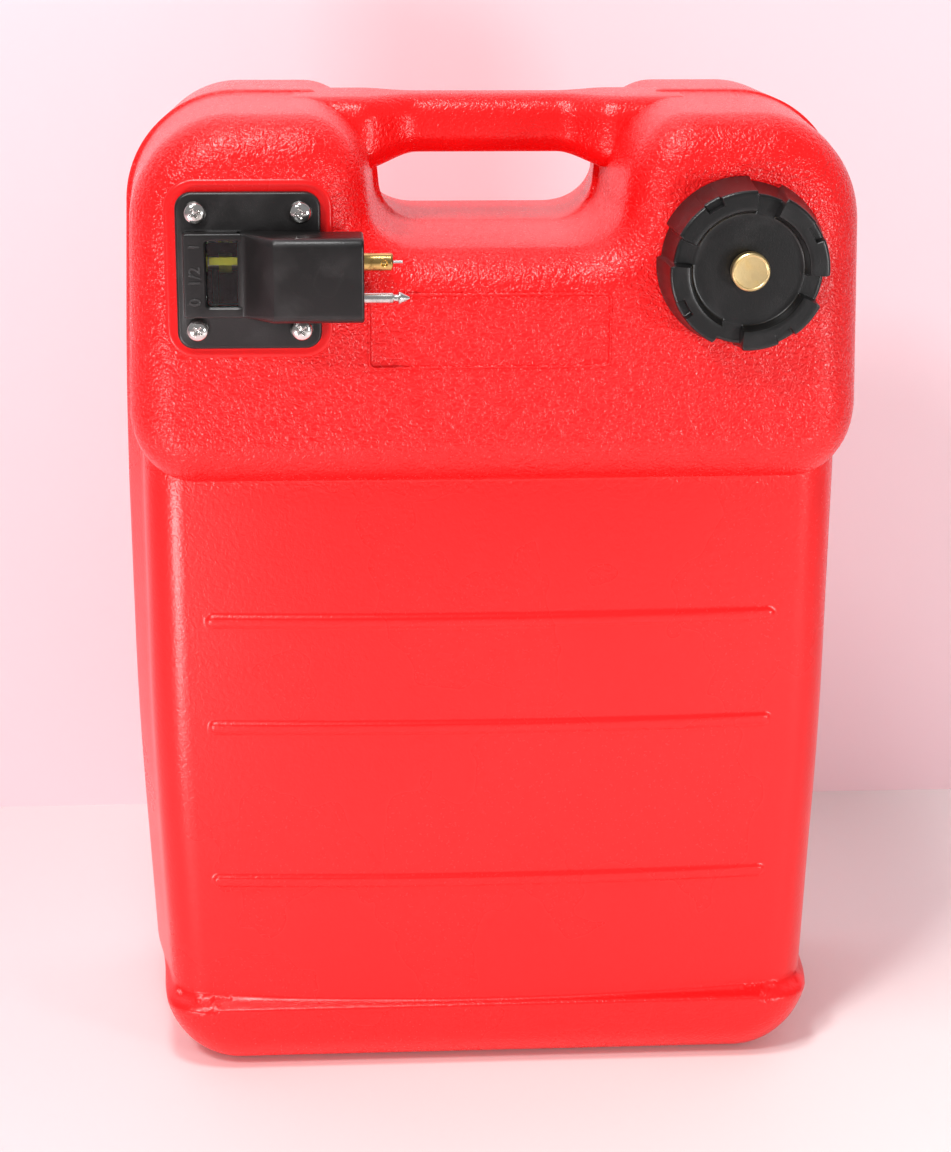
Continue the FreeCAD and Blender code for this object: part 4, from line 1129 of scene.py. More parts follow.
@dataclass(frozen=True)
class Tank:
    """The hollow moulding with its neck, its handle and the gauge's seat."""

    sizes: TankSizes = TankSizes()
    wall: float = 4.0
    neck: tuple[float, float] = FILLER_AT
    gauge: tuple[float, float] = GAUGE_AT
    neck_radius: float = 29.4
    neck_bore: float = 25.0
    neck_height: float = 15.0
    thread_pitch: float = 6.0
    thread_proud: float = 1.2
    gauge_bore: float = 24.0
    seat: tuple[float, float, float] = (36.6, 39.6, 12.0)
    seat_proud: float = 0.6
    handle_low: float = 459.0
    handle_high: float = 487.4
    handle_half_depth: float = 16.0
    handle_round: float = 11.0
    handle_reach: float = 94.0
    foot_half: tuple[float, float, float] = (118.0, 56.0, 18.0)

    def moulding(self) -> bpy.types.Object:
        """Outer skin less the inner one, with the filler's and the gauge's openings cut through.

        Returns:
            The moulding.
        """
        outer = TankSkin(self.sizes, Fineness.OUTSIDE).build("tank_skin")
        inner = TankSkin(self.sizes, Fineness.INSIDE).build("tank_hollow")
        mesh = inner.data
        where, normal = np.empty(len(mesh.vertices) * 3), np.empty(len(mesh.vertices) * 3)
        mesh.vertices.foreach_get("co", where)
        mesh.vertices.foreach_get("normal", normal)
        mesh.vertices.foreach_set("co", where - self.wall * MM * normal)
        mesh.flip_normals()
        joined = bmesh.new()
        joined.from_mesh(outer.data)
        joined.from_mesh(mesh)
        joined.to_mesh(outer.data)
        joined.free()
        bpy.data.objects.remove(inner)
        face = -self.sizes.shoulder_depth
        drills = Surface()
        for (x, z), radius in ((self.neck, self.neck_bore), (self.gauge, self.gauge_bore)):
            deep, out = -2.0 * self.wall, self.wall
            rod = np.array([(0.0, deep), (radius, deep), (radius, out), (0.0, out)])
            drills.add(from_front(turned(rod, 72), x, z, face), wrap=True)
        subtract(outer, drills.build("drills", outward=True))
        return outer

    def filler_neck(self) -> bpy.types.Object:
        """Neck with one thread ridge that climbs round it.

        Formula: the wall's radius grows by the thread's height times a rounded pulse of
        (height / pitch - turn), faded out at the neck's two ends.

        Returns:
            The neck.
        """
        height, pitch = self.neck_height, self.thread_pitch
        edge, low = 1.2, -1.0
        rows = np.linspace(0.0, height - edge, 56)
        turn = np.linspace(0.0, 1.0, 96, endpoint=False)
        phase = rows[:, None] / pitch - turn[None, :]
        ridge = smoothstep(0.62, 0.9, np.cos(ROUND * phase))
        ends = smoothstep(2.0, 4.0, rows) * (1.0 - smoothstep(height - 4.0, height - 2.0, rows))
        radius = self.neck_radius + self.thread_proud * ridge * ends[:, None]
        angle = turn * ROUND
        level = rows[:, None] * np.ones_like(turn)
        wall = np.stack([radius * np.cos(angle), radius * np.sin(angle), level], axis=-1)
        lip = turned(eased_profile([(self.neck_radius, height - edge, 0.0), (self.neck_radius, height, edge * 0.8),
                                    (self.neck_bore, height, edge * 0.8), (self.neck_bore, low, 0.0),
                                    (self.neck_radius, low, 0.0)]), 96)
        grid = np.concatenate([wall, lip, wall[:1]])
        surface = Surface().add(from_front(grid, *self.neck, -self.sizes.shoulder_depth), wrap=True)
        return surface.build("filler_neck", outward=True)

    def gauge_seat(self) -> bpy.types.Object:
        """Smooth raised pad under the gauge, with a fine rim line round it.

        Returns:
            The pad.
        """
        hx, hz, r = self.seat
        inner, sunk, proud = 0.42, -0.7, self.seat_proud
        steps = ((1.9, sunk), (1.5, -0.1), (1.0, 0.45), (0.4, proud), (-0.7, proud), (-1.3, inner), (-2.4, inner))
        loops = [(rounded_rect(hx + more, hz + more, r + more, 10), w) for more, w in steps]
        bore = self.gauge_bore
        circle = rounded_rect(bore, bore, bore, 10)
        loops += [(circle, inner), (circle, sunk), loops[0]]
        surface = Surface().add(from_front(stacked(loops), *self.gauge, -self.sizes.shoulder_depth), wrap=True)
        return surface.build("gauge_seat", outward=True)

    def foot(self) -> bpy.types.Object:
        """Flat plate under the base that the tank stands on.

        Returns:
            The plate.
        """
        hx, hy, r = self.foot_half
        high, edge = 3.0, 0.25
        loops = [(rounded_rect(hx, hy, r, 8), h) for h in (high, edge)]
        loops.append((rounded_rect(hx - edge, hy - edge, r, 8), 0.0))
        loops = [(loops[0][0] * 0.0, high), *loops, (loops[0][0] * 0.0, 0.0)]
        return Surface().add(stacked(loops), wrap=True).build("foot_plate", outward=True)

    def plate_border(self) -> bpy.types.Object:
        """Fine raised line round the bare plate.

        Returns:
            The line.
        """
        left, right, low, high = self.sizes.recess
        middle = np.array([(left + right) / 2.0, (low + high) / 2.0])
        hx, hz = (right - left) / 2.0, (high - low) / 2.0
        steps = ((0.9, -1.0), (0.8, 0.1), (0.45, 0.5), (-0.15, 0.5), (-0.6, 0.05), (-0.9, -1.0), (0.9, -1.0))
        loops = [(rounded_rect(hx + more, hz + more, 2.4 + more, 8) + middle, w) for more, w in steps]
        grid = from_front(stacked(loops), 0.0, 0.0, -self.sizes.shoulder_depth)
        return Surface().add(grid, wrap=True).build("plate_border", outward=True)

    def handle(self) -> bpy.types.Object:
        """Carry handle between the two lobes.

        Formula: a rounded rectangle swept along X; towards the lobes its underside drops
        and its front and back spread, both by a smooth step of |x|.

        Returns:
            The handle.
        """
        xs = np.linspace(-self.handle_reach, self.handle_reach, 95)
        spread = smoothstep(34.0, 62.0, np.abs(xs))
        rows = []
        for x, s in zip(xs, spread):
            low = self.handle_low - 7.0 * s
            half_height = 0.5 * (self.handle_high - low)
            loop = rounded_rect(self.handle_half_depth + 13.0 * s, half_height, self.handle_round, 9)
            rows.append(np.stack([np.full(len(loop), x), loop[:, 0], loop[:, 1] + low + half_height], axis=-1))
        return Surface().add(capped(rows), wrap=True).build("handle", outward=True)

    def build(self, finish: Finish) -> list[bpy.types.Object]:
        """Builds the red pieces and marks how coarse their grain is.

        Args:
            finish: finish of the moulding.

        Returns:
            The pieces.
        """
        made = [self.moulding(), self.filler_neck(), self.gauge_seat(), self.handle(), self.foot(),
                self.plate_border()]
        for piece in made:
            self.mark_grain(piece)
            place(piece, "tank", finish, "red_polyethylene", "tank_shell")
        return made

    def mark_grain(self, piece: bpy.types.Object) -> None:
        """Stores the grain's strength at each point.

        Formula: coarse above the crease and on the foot band, finer between them, softer
        on the handle and round the neck, and nearly none on the gauge's seat.

        Args:
            piece: a red piece.
        """
        mesh = piece.data
        co = np.empty(len(mesh.vertices) * 3)
        mesh.vertices.foreach_get("co", co)
        x, y, z = (co.reshape(-1, 3) / MM).T
        coarse = 0.16 + 0.84 * smoothstep(300.0, 330.0, z)
        coarse = np.maximum(coarse, 0.5 * (1.0 - smoothstep(30.0, 40.0, z)))
        away = np.hypot(x - self.neck[0], z - self.neck[1])
        grain = coarse * (0.45 if piece.name == "handle" else 1.0)
        grain = np.where(y < 0.0, grain * (0.3 + 0.7 * smoothstep(30.0, 36.0, away)), grain)
        if piece.name in ("gauge_seat", "filler_neck"):
            grain = np.full(len(x), 0.06)
        mesh.attributes.new("grain", "FLOAT", "POINT").data.foreach_set("value", grain.astype(np.float32))


@dataclass(frozen=True)
class FillerCap:
    """Screw cap: stepped skirt, crown cut by four gaps, dished middle and four pockets in the rim."""

    at: tuple[float, float] = FILLER_AT
    face: float = FRONT_FACE
    skirt_gap: float = 0.8
    ring_radius: float = 39.5
    crown_radius: float = 36.6
    height: float = 28.0
    bore_radius: float = 31.0
    bore_depth: float = 17.9
    dish_radius: float = 25.7
    dish_floor: float = 21.9
    dish_slope: float = 1.8
    vent_radius: float = 5.0
    gap_deg: float = 20.0
    gap_first_deg: float = 75.0
    gap_depth: float = 2.0
    flute_more_deg: float = 2.0
    pocket_width: float = 8.3
    pocket_from: float = 32.4
    pocket_floor: float = 24.0
    edge: float = 1.5
    columns: int = 640

    def build(self, finish: Finish) -> bpy.types.Object:
        """Builds the cap over a grid of turn and place along the profile.

        Formula: each profile point is a mix of the crown's and the gap's radius and
        height, by a soft mask of the angle to the nearest gap; a second mask lowers the
        rim in the pockets.

        Args:
            finish: the cap's finish.

        Returns:
            The piece.
        """
        turn = np.linspace(0.0, 360.0, self.columns, endpoint=False)
        to_gap = np.abs((turn - self.gap_first_deg + 45.0) % 90.0 - 45.0)
        to_pocket = 45.0 - to_gap
        soft = 0.9
        half = self.gap_deg / 2.0
        wide = half + self.flute_more_deg / 2.0
        flute = 1.0 - smoothstep(wide - soft, wide + soft, to_gap)
        gap = 1.0 - smoothstep(half - soft, half + soft, to_gap)
        aside = np.radians(to_pocket) * self.crown_radius
        pocket = 1.0 - smoothstep(self.pocket_width / 2.0 - 0.45, self.pocket_width / 2.0 + 0.45, aside)
        wall = self.crown_radius - self.gap_depth * flute
        top = self.height + (self.dish_floor - self.height) * gap
        rim = top + (np.minimum(self.pocket_floor, top) - top) * pocket
        flat = np.ones_like(turn)
        rows = [(self.bore_radius * flat, self.skirt_gap * flat),
                (self.ring_radius - 0.8 - self.gap_depth * flute, self.skirt_gap * flat)]
        low = self.skirt_gap + 0.7
        for t in np.linspace(0.0, 1.0, 20):
            flare = (self.ring_radius - self.crown_radius) * (1.0 - t) ** 1.7
            rows.append((wall + flare, low + (rim - self.edge - low) * t))
        rows += [(wall - self.edge * (1.0 - math.cos(a)), rim - self.edge * (1.0 - math.sin(a)))
                 for a in np.linspace(0.0, math.pi / 2.0, 7)[1:]]
        inner = self.pocket_from * flat
        rows += [(inner + (wall - self.edge - inner) * t, rim) for t in (0.66, 0.33)]
        rows += [(inner + 0.35, rim), (inner + 0.05, rim + (top - rim) * 0.5), (inner - 0.3, top)]
        brim = self.dish_radius + self.dish_slope
        rows += [(inner - 0.3 + (brim + 0.7 - inner + 0.3) * t, top) for t in (0.33, 0.66, 1.0)]
        bend = 1 - gap
        rows += [(brim + 0.2 * flat, top - 0.2 * bend), (brim - 0.15 * flat, top - 0.7 * bend)]
        slope = np.linspace(0.12, 0.9, 5)
        rows += [((brim + (self.dish_radius - brim) * t) * flat,
                  top - 0.7 * bend + (self.dish_floor - top + 0.7 * bend) * t) for t in slope]
        rows += [((self.dish_radius - 0.3) * flat, (self.dish_floor + 0.12) * flat)]
        floor = np.linspace(self.dish_radius - 1.0, self.vent_radius, 12)
        rows += [(r * flat, self.dish_floor * flat) for r in floor]
        rows += [(self.vent_radius * flat, self.bore_depth * flat),
                 (self.bore_radius * flat, self.bore_depth * flat),
                 (self.bore_radius * flat, self.skirt_gap * flat)]
        angle = np.radians(turn)
        grid = np.stack([np.stack([r * np.cos(angle), r * np.sin(angle), w * flat], axis=-1) for r, w in rows])
        surface = Surface().add(from_front(grid, *self.at, self.face), wrap=True)
        piece = surface.build("filler_cap", sharp_deg=32.0, outward=True)
        return place(piece, "cap", finish, "cap_black", "cap_shell")


@dataclass(frozen=True)
class VentKnob:
    """Brass vent screw in the middle of the cap."""

    at: tuple[float, float] = FILLER_AT
    face: float = FRONT_FACE
    radius: float = 8.8
    low: float = 23.8
    high: float = 29.8
    shank_radius: float = 2.5
    shank_low: float = 11.6

    def build(self, finish: Finish) -> bpy.types.Object:
        """Turns the knob: a flat head with a raised rim over its shank.

        Args:
            finish: the knob's finish.

        Returns:
            The piece.
        """
        r, high = self.radius, self.high
        corners = [(0.0, self.shank_low, 0.0), (self.shank_radius - 0.4, self.shank_low, 0.0),
                   (self.shank_radius, self.shank_low + 0.4, 0.0), (self.shank_radius, self.low, 0.3),
                   (r - 0.5, self.low, 0.2), (r, self.low + 0.5, 0.2), (r, high - 0.7, 0.25),
                   (r - 0.7, high, 0.25), (r - 1.2, high, 0.15), (r - 1.5, high - 0.25, 0.15),
                   (0.35, high - 0.3, 0.0), (0.0, high - 0.3, 0.0)]
        grid = from_front(turned(eased_profile(corners, 5), 96), *self.at, self.face)
        piece = Surface().add(grid, wrap=True).build("vent_knob", sharp_deg=35.0, outward=True)
        return place(piece, "vent", finish, "brass", "vent_screw")


@dataclass(frozen=True)
class GaugeHousing:
    """Flange, window box and outlet block of the gauge, with its lens and raised figures."""

    at: tuple[float, float] = GAUGE_AT
    face: float = FRONT_FACE
    flange: tuple[float, float, float] = (33.0, 36.0, 7.5)
    flange_low: float = 2.1
    flange_high: float = 5.7
    flange_edge: float = 1.5
    body_z: tuple[float, float] = (398.0, 436.5)
    box_x: tuple[float, float] = (-144.0, -116.5)
    box_front: float = 13.7
    window: tuple[float, float, float, float] = (-133.6, -118.0, 403.0, 433.0)
    window_round: float = 1.6
    bevel: float = 0.9
    lens_low: float = 9.9
    lens_high: float = 11.8
    ramp_x: float = -103.0
    block_end: float = -62.5
    block_front: float = 30.2
    block_back: float = 4.5
    block_round: float = 4.5
    bore_y: float = -114.0
    bores: tuple[tuple[float, float, float], ...] = ((424.0, 5.0, 21.7), (407.5, 3.05, 11.7))
    figure_size: float = 7.2
    figures: tuple[tuple[str, float], ...] = (("1", 430.6), ("1/2", 417.0), ("0", 405.4))

    def local(self, x0: float, x1: float, z0: float, z1: float, radius: float, more: float = 0.0) -> np.ndarray:
        """Rounded rectangle between two corners, grown by more on all sides, round the gauge's centre."""
        loop = rounded_rect((x1 - x0) / 2.0 + more, (z1 - z0) / 2.0 + more, max(radius + more, 0.25), 8)
        return loop + np.array([(x0 + x1) / 2.0 - self.at[0], (z0 + z1) / 2.0 - self.at[1]])

    def shell(self) -> bpy.types.Object:
        """Flange and window box as one closed ring of stacked loops, open through the window.

        Returns:
            The shell.
        """
        hx, hz, r = self.flange
        low, high, e = self.flange_low, self.flange_high, self.flange_edge
        box, window = (*self.box_x, *self.body_z), self.window
        front = self.box_front
        bends = np.linspace(0.0, math.pi / 2.0, 6)
        loops = [(self.local(*window, self.window_round), low), (rounded_rect(hx - 0.3, hz - 0.3, r, 8), low),
                 (rounded_rect(hx, hz, r, 8), low + 0.3)]
        loops += [(rounded_rect(hx - inset, hz - inset, r - inset, 8), high - e * (1 - math.sin(a)))
                  for a in bends for inset in (e * (1 - math.cos(a)),)]
        loops += [(self.local(*box, 1.6, 1.0), high), (self.local(*box, 1.6, 0.3), high + 0.25),
                  (self.local(*box, 1.6), high + 0.9)]
        loops += [(self.local(*box, 1.6, -0.9 * (1 - math.cos(a))), front - 0.9 * (1 - math.sin(a)))
                  for a in bends]
        loops += [(self.local(*window, self.window_round, self.bevel + 0.15), front),
                  (self.local(*window, self.window_round, self.bevel), front - 0.1),
                  (self.local(*window, self.window_round, 0.1), front - self.bevel),
                  (self.local(*window, self.window_round), front - self.bevel - 0.2),
                  (self.local(*window, self.window_round), low)]
        surface = Surface().add(from_front(stacked(loops), *self.at, self.face), wrap=True)
        return surface.build("gauge_shell", sharp_deg=32.0, outward=True)

    def block(self) -> bpy.types.Object:
        """Outlet block swept along X, its front rising up a ramp out of the window box.

        Formula: at each x a rounded rectangle of z and depth; the front edge's rounding
        grows with the block's height, and both ends close to a point.

        Returns:
            The block, with its two bores.
        """
        z0, z1 = self.body_z
        stations = [(self.box_x[1] - 3.0, self.box_front - 1.4, 0.8, 0.0),
                    (self.box_x[1] - 0.8, self.box_front + 0.1, 1.0, 0.0)]
        ramp = np.linspace(0.0, 1.0, 13)
        eased = 0.78 * ramp + 0.22 * ramp * ramp * (3.0 - 2.0 * ramp)
        stations += [(self.box_x[1] + (self.ramp_x - self.box_x[1]) * t,
                      self.box_front + 0.3 + (self.block_front - self.box_front - 0.3) * s,
                      1.2 + (self.block_round - 1.2) * t, 0.0) for t, s in zip(ramp, eased)]
        stations += [(self.ramp_x + 1.5, self.block_front, self.block_round, 0.0),
                     (self.block_end - 14.0, self.block_front, self.block_round, 0.0)]
        stations += [(self.block_end - 1.3 * (1 - math.sin(a)), self.block_front, self.block_round,
                      1.3 * (1 - math.cos(a))) for a in np.linspace(0.0, math.pi / 2.0, 6)]
        rows = []
        for x, front, corner, inset in stations:
            back = 3.0 if x < self.at[0] + self.flange[0] - 2.0 else self.block_back
            half_z, half_w = (z1 - z0) / 2.0 - inset, (front - back) / 2.0 - inset
            loop = rounded_rect(half_z, half_w, max(corner - inset, 0.6), 8)
            rows.append(np.stack([np.full(len(loop), x), self.face - (loop[:, 1] + (front + back) / 2.0),
                                  loop[:, 0] + (z0 + z1) / 2.0], axis=-1))
        block = Surface().add(capped(rows), wrap=True).build("outlet_block", sharp_deg=35.0, outward=True)
        drills = Surface()
        for z, radius, deep in self.bores:
            rod = np.array([(0.0, -deep), (radius, -deep), (radius, 2.0), (0.0, 2.0)])
            drills.add(along_x(turned(rod, 64), self.block_end, self.bore_y, z), wrap=True)
        subtract(block, drills.build("bores", outward=True))
        return block

    def lens(self) -> bpy.types.Object:
        """Clear slab in the window with a softened edge.

        Returns:
            The lens.
        """
        e, gap = 0.6, 0.05
        low, high = self.lens_low, self.lens_high
        wide = self.local(*self.window, self.window_round, -gap)
        small = self.local(*self.window, self.window_round, -e - gap)
        middle = small * 0.0 + small.mean(axis=0)
        loops = [(middle, low), (small, low), (wide, low + e), (wide, high - e), (small, high), (middle, high)]
        surface = Surface().add(from_front(stacked(loops), *self.at, self.face), wrap=True)
        return surface.build("lens", sharp_deg=30.0, outward=True)

    def figure(self, text: str, z: float) -> bpy.types.Object:
        """One raised figure beside the window, turned a quarter so that it reads upward.

        Args:
            text: figure.
            z: height of its middle.

        Returns:
            The piece.
        """
        curve = bpy.data.curves.new("figure", "FONT")
        curve.body, curve.size = text, self.figure_size * MM
        curve.align_x = curve.align_y = "CENTER"
        curve.extrude, curve.bevel_depth, curve.offset = 0.42 * MM, 0.1 * MM, 0.04 * MM
        loose = bpy.data.objects.new("figure", curve)
        bpy.context.scene.collection.objects.link(loose)
        graph = bpy.context.evaluated_depsgraph_get()
        mesh = bpy.data.meshes.new_from_object(loose.evaluated_get(graph), depsgraph=graph)
        bpy.data.objects.remove(loose)
        x = (self.box_x[0] + self.window[0]) / 2.0 + 0.2
        turn = Matrix(((0.0, -1.0, 0.0), (0.0, 0.0, -1.0), (1.0, 0.0, 0.0))).to_4x4()
        mesh.transform(Matrix.Translation((x * MM, (self.face - self.box_front) * MM, z * MM)) @ turn)
        piece = bpy.data.objects.new(f"figure_{text.replace('/', '_')}", mesh)
        bpy.context.scene.collection.objects.link(piece)
        return piece

    def build(self, black: Finish, figures_painted_highlight: Finish, clear: Finish) -> list[bpy.types.Object]:
        """Builds the housing's pieces.

        Args:
            black: finish of the housing.
            figures_painted_highlight: finish of the raised figures.
            clear: finish of the lens.

        Returns:
            The pieces.
        """
        made = [place(self.shell(), "tank", black, "black_nylon", "gauge_housing"),
                place(self.block(), "tank", black, "black_nylon", "gauge_housing")]
        # the figures' lighter finish is a painted highlight on the housing's black nylon
        made += [place(self.figure(text, z), "tank", figures_painted_highlight, "black_nylon") for text, z in self.figures]
        return made + [place(self.lens(), "tank", clear, "clear_lens", "gauge_lens")]


@dataclass(frozen=True)
class PanScrews:
    """Four domed cross-head screws that hold the gauge down."""

    at: tuple[float, float] = GAUGE_AT
    face: float = FRONT_FACE
    aside: float = 23.8
    above: float = 26.9
    seat: float = 5.7
    radius: float = 5.3
    height: float = 4.2
    cross_half_length: float = 2.3
    cross_half_width: float = 0.5
    cross_depth: float = 1.6
    turns_deg: tuple[float, ...] = (28.0, 8.0, 52.0, 35.0)

    def head(self, turn_deg: float) -> np.ndarray:
        """Grid of one head, from under its rim over the dome to the middle.

        Formula: height of a flattened dome less the cross, whose depth fades with the
        distance to the nearer of its two arms.

        Args:
            turn_deg: how far the cross is turned.

        Returns:
            Local grid with the axis along +Z.
        """
        shoulder, rim = self.radius - 0.45, 1.9
        r = np.concatenate([[self.radius - 0.6, self.radius], np.linspace(self.radius, shoulder, 5)[1:],
                            np.linspace(shoulder, 0.0, 34)[1:]])
        base = np.concatenate([[0.0, 0.35], np.linspace(0.9, rim, 5)[1:]])
        dome = rim + (self.height - rim) * np.sqrt(1.0 - (r[6:] / shoulder) ** 2 * 0.999)
        w = np.concatenate([base, dome])
        turn = np.linspace(0.0, ROUND, 96, endpoint=False)
        across = r[:, None] * np.cos(turn - math.radians(turn_deg))
        along = r[:, None] * np.sin(turn - math.radians(turn_deg))
        half, length = self.cross_half_width, self.cross_half_length
        arms = np.minimum(np.maximum(np.abs(across) - half, np.abs(along) - length),
                          np.maximum(np.abs(along) - half, np.abs(across) - length))
        cut = self.cross_depth * (1.0 - smoothstep(-0.22, 0.22, arms)) * (1.0 - 0.35 * r[:, None] / length)
        cut = np.where(r[:, None] > length + 0.6, 0.0, np.maximum(cut, 0.0))
        return np.stack([r[:, None] * np.cos(turn), r[:, None] * np.sin(turn), w[:, None] - cut], axis=-1)

    def build(self, finish: Finish) -> bpy.types.Object:
        """Builds the four heads with a stub of shank under each.

        Args:
            finish: the screws' finish.

        Returns:
            The piece.
        """
        surface = Surface()
        places = [(sx * self.aside, sz * self.above) for sz in (1, -1) for sx in (-1, 1)]
        for (dx, dz), turn_deg in zip(places, self.turns_deg):
            head = self.head(turn_deg)
            shank = turned(np.array([(0.0, -6.0), (2.0, -6.0), (2.0, 0.0)]), 96)
            grid = np.concatenate([shank, head])
            surface.add(from_front(grid, self.at[0] + dx, self.at[1] + dz, self.face - self.seat), wrap=True)
        piece = surface.build("pan_screws", sharp_deg=38.0, outward=True)
        return place(piece, "tank", finish, "plated_screw", "flange_screws")


@dataclass(frozen=True)
class Fittings:
    """Brass outlet tube and steel latch pin at the block's end."""

    end_x: float = -62.5
    y: float = -114.0
    outlet_z: float = 424.0
    latch_z: float = 407.5
    outlet_radius: float = 4.1
    outlet_out: float = 13.2
    hole_back: float = 4.0
    hole_radius: float = 1.5
    bore_radius: float = 0.75
    bore_wide: float = 3.0
    bore_step: float = 2.2
    root_radius: float = 4.9
    root_deep: float = 21.5
    pin_root: float = 3.0
    pin_deep: float = 11.5

    def outlet(self) -> bpy.types.Object:
        """Tube with a round port in its front.

        Formula: the turned radius is sunk inside a circle drawn on the tube's skin round
        the port's middle, with a soft rim.

        Returns:
            The tube.
        """
        r, out = self.outlet_radius, self.outlet_out
        corners = [(self.bore_radius, out - 1.5, 0.0), (self.bore_radius, out - 0.2, 0.1), (r - 0.7, out, 0.25),
                   (r, out - 0.8, 0.4)]
        tip = eased_profile(corners + [(r, out - 1.2, 0.0)], 5)
        run = np.stack([np.full(40, r), np.linspace(out - 1.4, out - 7.4, 40)], axis=-1)
        root, deep = self.root_radius, -self.root_deep
        tail = eased_profile([(r, 5.0, 0.0), (r, 0.0, 0.1), (root, 0.0, 0.2), (root, deep, 0.2),
                              (self.bore_wide, deep, 0.2), (self.bore_wide, out - 6.9, 0.2),
                              (self.bore_step, out - 6.9, 0.2), (self.bore_step, out - 1.5, 0.2),
                              (self.bore_radius, out - 1.5, 0.0)], 4)
        grid = turned(np.concatenate([tip, run, tail]), 120)
        turn = np.linspace(0.0, ROUND, 120, endpoint=False)
        aside = (np.abs(turn - 1.5 * math.pi)) * r
        away = np.hypot(aside[None, :], grid[..., 2] - (out - self.hole_back))
        sunk = 1.5 * (1.0 - smoothstep(self.hole_radius - 0.2, self.hole_radius + 0.12, away))
        rows = np.arange(len(grid))
        on_run = ((rows >= len(tip)) & (rows < len(tip) + len(run)))[:, None]
        scale = 1.0 - np.where(on_run, sunk, 0.0) / r
        grid = grid * np.stack([scale, scale, np.ones_like(scale)], axis=-1)
        piece = Surface().add(along_x(grid, self.end_x, self.y, self.outlet_z), wrap=True)
        return piece.build("outlet_brass", sharp_deg=38.0, outward=True)

    def latch(self) -> bpy.types.Object:
        """Pin with a groove and a pointed head, turned from its profile.

        Returns:
            The pin.
        """
        corners = [(0.0, -self.pin_deep, 0.0), (self.pin_root, -self.pin_deep, 0.2), (self.pin_root, 0.0, 0.2),
                   (2.4, 0.0, 0.2), (2.4, 12.9, 0.2), (2.1, 13.3, 0.1), (1.6, 13.5, 0.15), (1.6, 15.4, 0.15),
                   (2.5, 15.5, 0.1), (2.8, 15.8, 0.15), (2.8, 16.5, 0.3), (0.55, 20.7, 0.3), (0.0, 21.0, 0.0)]
        grid = along_x(turned(eased_profile(corners, 5), 64), self.end_x, self.y, self.latch_z)
        return Surface().add(grid, wrap=True).build("latch_steel_pin", sharp_deg=35.0, outward=True)

    def build(self, brass: Finish, steel: Finish) -> list[bpy.types.Object]:
        """Builds both fittings.

        Args:
            brass: finish of the outlet.
            steel: finish of the pin.

        Returns:
            The pieces.
        """
        return [place(self.outlet(), "tank", brass, "brass", "outlet_tube"),
                place(self.latch(), "tank", steel, "latch_steel", "latch_pin")]


@dataclass(frozen=True)
class Lamp:
    """One soft area light."""

    name: str
    at: tuple[float, float, float]
    aim: tuple[float, float, float]
    watts: float
    size: float
    colour: RGB = (1.0, 1.0, 1.0)

    def build(self) -> bpy.types.Object:
        """Adds the light, turned towards its aim.

        Returns:
            The light.
        """
        data = bpy.data.lights.new(self.name, "AREA")
        data.energy, data.size, data.color = self.watts, self.size, self.colour
        lamp = bpy.data.objects.new(self.name, data)
        bpy.context.scene.collection.objects.link(lamp)
        lamp.location = self.at
        lamp.rotation_euler = (Vector(self.aim) - lamp.location).to_track_quat("-Z", "Y").to_euler()
        return lamp


@dataclass(frozen=True)
class Backdrop(Finish):
    """Matt paper with painted light and shade: its colour shifts in one direction, standing in for how the light
    falls across it.
    """

    colour: RGB
    painted_falloff_end: RGB
    painted_light_direction: tuple[float, float, float]
    drift: tuple[float, float]
    roughness: float = 0.7

    def paint(self) -> bpy.types.Material:
        """Formula: the place along the painted light direction, with a little broad noise, mixes the two colours
        into painted light and shade.

        Returns:
            The material.
        """
        g = Graph(self.name)
        along = g.vector("DOT_PRODUCT", g.place(), self.painted_light_direction, out=1) + g.noise(1.5, 2.0) * 0.1
        # painted light and shade: the place along the direction mixes the first colour into the painted falloff
        # end
        colour = g.mix(along.eased(*self.drift), self.colour, self.painted_falloff_end)
        g.open_from_behind()
        return g.finish(None, 0.0, Base_Color=colour, Roughness=self.roughness)


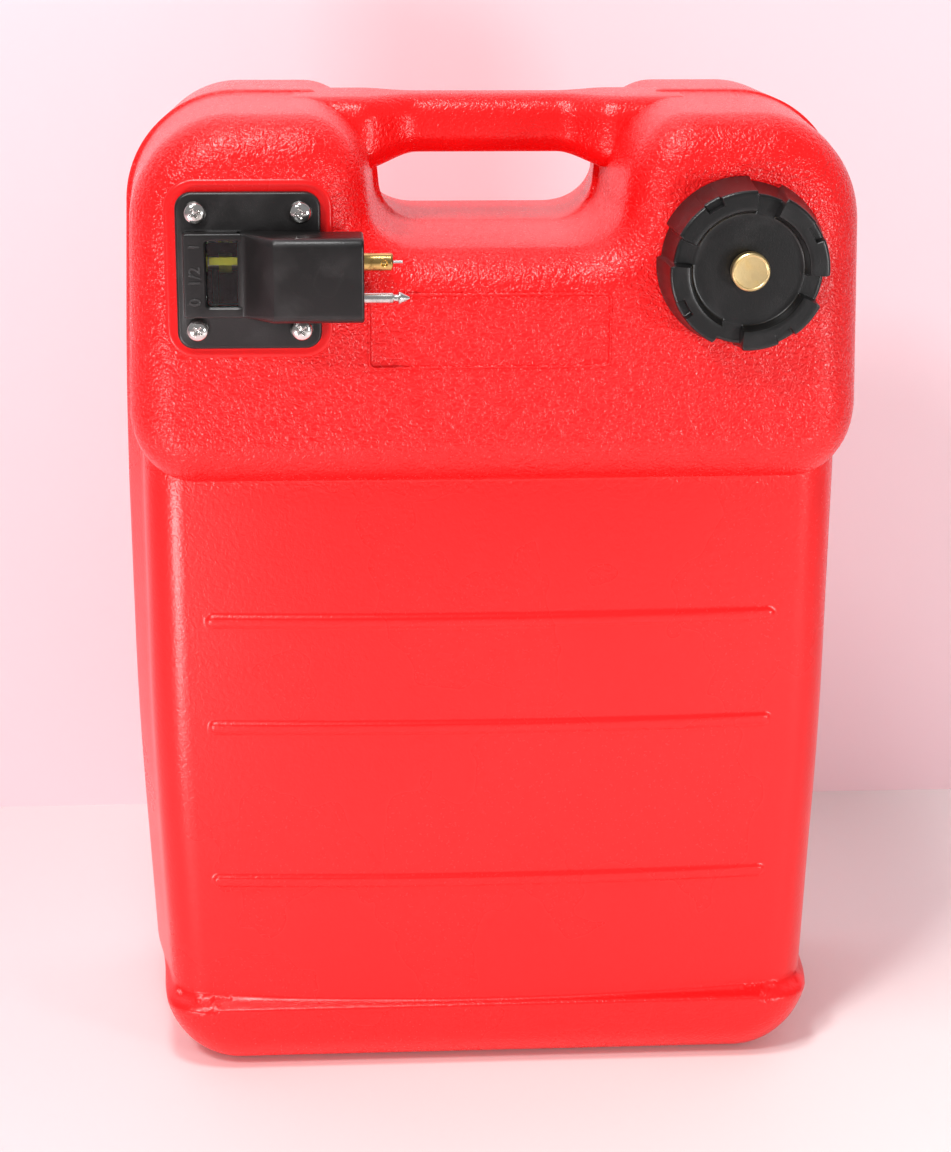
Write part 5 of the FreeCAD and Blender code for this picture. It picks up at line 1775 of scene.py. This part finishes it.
@dataclass(frozen=True)
class Studio:
    """Pale floor and wall with painted light and shade, soft lights, sky colour and the camera."""

    # floor: darker pink at -X to near white at +X; wall: lighter at the top, darker low down and towards -X; both
    # are painted light and shade for how the light falls
    floor: Backdrop = Backdrop("floor_painted_light_and_shade", (0.96, 0.75, 0.77), (0.96, 0.94, 0.93),
                               (1.0, 0.0, 0.0), (-0.5, 0.3), 0.6)
    wall: Backdrop = Backdrop("wall_painted_light_and_shade", (0.97, 0.83, 0.89), (0.94, 0.71, 0.76),
                              (-0.3, 0.0, -1.0), (-0.8, 0.05))
    wall_y: float = 0.287
    half_width: float = 3.0
    sky: RGB = (1.0, 0.97, 0.98)
    sky_strength: float = 0.31
    lamps: tuple[Lamp, ...] = (
        Lamp("key", (-0.75, -1.15, 1.55), (0.0, -0.05, 0.30), 12.8, 0.30),
        Lamp("right", (0.72, -0.90, 0.34), (0.16, -0.07, 0.26), 3.6, 0.22),
        Lamp("low", (-0.54, -0.68, 0.05), (-0.12, -0.09, 0.34), 3.3, 0.2),
        Lamp("top", (-0.22, -0.50, 1.60), (0.0, -0.05, 0.4), 8.8, 0.28),
    )
    camera_at: tuple[float, float, float] = (-0.0842, -1.2524, 0.6260)
    pitch_deg: float = 17.10
    yaw_deg: float = 3.67
    roll_deg: float = 0.317
    lens_mm: float = 79.397

    def sheet(self, name: str, corners: list[tuple[float, float, float]], finish: Finish) -> None:
        """Adds one flat sheet that isn't part of the object.

        Args:
            name: the sheet's name.
            corners: its four corners in metres.
            finish: its finish.
        """
        mesh = bpy.data.meshes.new(name)
        mesh.from_pydata(corners, [], [(0, 1, 2, 3)])
        sheet = bpy.data.objects.new(name, mesh)
        bpy.context.scene.collection.objects.link(sheet)
        mesh.materials.append(finish.material())
        LOG.info("%s: stage", name)

    def camera(self) -> None:
        """Sets the camera where the photograph was taken from."""
        pitch, yaw, roll = (math.radians(a) for a in (self.pitch_deg, self.yaw_deg, self.roll_deg))
        ahead = Vector((math.sin(yaw) * math.cos(pitch), math.cos(yaw) * math.cos(pitch), -math.sin(pitch)))
        right = Vector((math.cos(yaw), -math.sin(yaw), 0.0))
        up = right.cross(ahead)
        across = right * math.cos(roll) + up * math.sin(roll)
        upward = up * math.cos(roll) - right * math.sin(roll)
        data = bpy.data.cameras.new("camera")
        data.lens, data.sensor_width = self.lens_mm, 36.0
        camera = bpy.data.objects.new("camera", data)
        bpy.context.scene.collection.objects.link(camera)
        turn = Matrix((across, upward, -ahead)).transposed().to_4x4()
        camera.matrix_world = Matrix.Translation(self.camera_at) @ turn
        bpy.context.scene.camera = camera

    def world(self) -> None:
        """Sets an even pale sky."""
        world = bpy.data.worlds.new("sky")
        world.use_nodes = True
        background = world.node_tree.nodes["Background"]
        background.inputs["Color"].default_value = (*self.sky, 1.0)
        background.inputs["Strength"].default_value = self.sky_strength
        bpy.context.scene.world = world

    def build(self) -> None:
        """Builds the stage, the lights, the sky and the camera."""
        w, y = self.half_width, self.wall_y
        self.sheet("floor", [(-w, -w, 0.0), (w, -w, 0.0), (w, w, 0.0), (-w, w, 0.0)], self.floor)
        self.sheet("wall", [(-w, y, 0.0), (w, y, 0.0), (w, y, w), (-w, y, w)], self.wall)
        for lamp in self.lamps:
            LOG.info("%s: lamp of %.1f W", lamp.build().name, lamp.watts)
        self.world()
        self.camera()
        bpy.context.scene.view_settings.view_transform = "Standard"


def main() -> None:
    """Builds the object and its studio."""
    logging.basicConfig(level=logging.INFO, format="%(name)s: %(message)s")
    looks = Finishes()
    Tank().build(looks.red)
    FillerCap().build(looks.cap)
    VentKnob().build(looks.knob)
    GaugeHousing().build(looks.black, looks.figures_painted_highlight, looks.lens)
    PanScrews().build(looks.screw)
    Fittings().build(looks.brass, looks.latch)
    looks.dress()
    Studio().build()


if __name__ == "__main__":
    main()
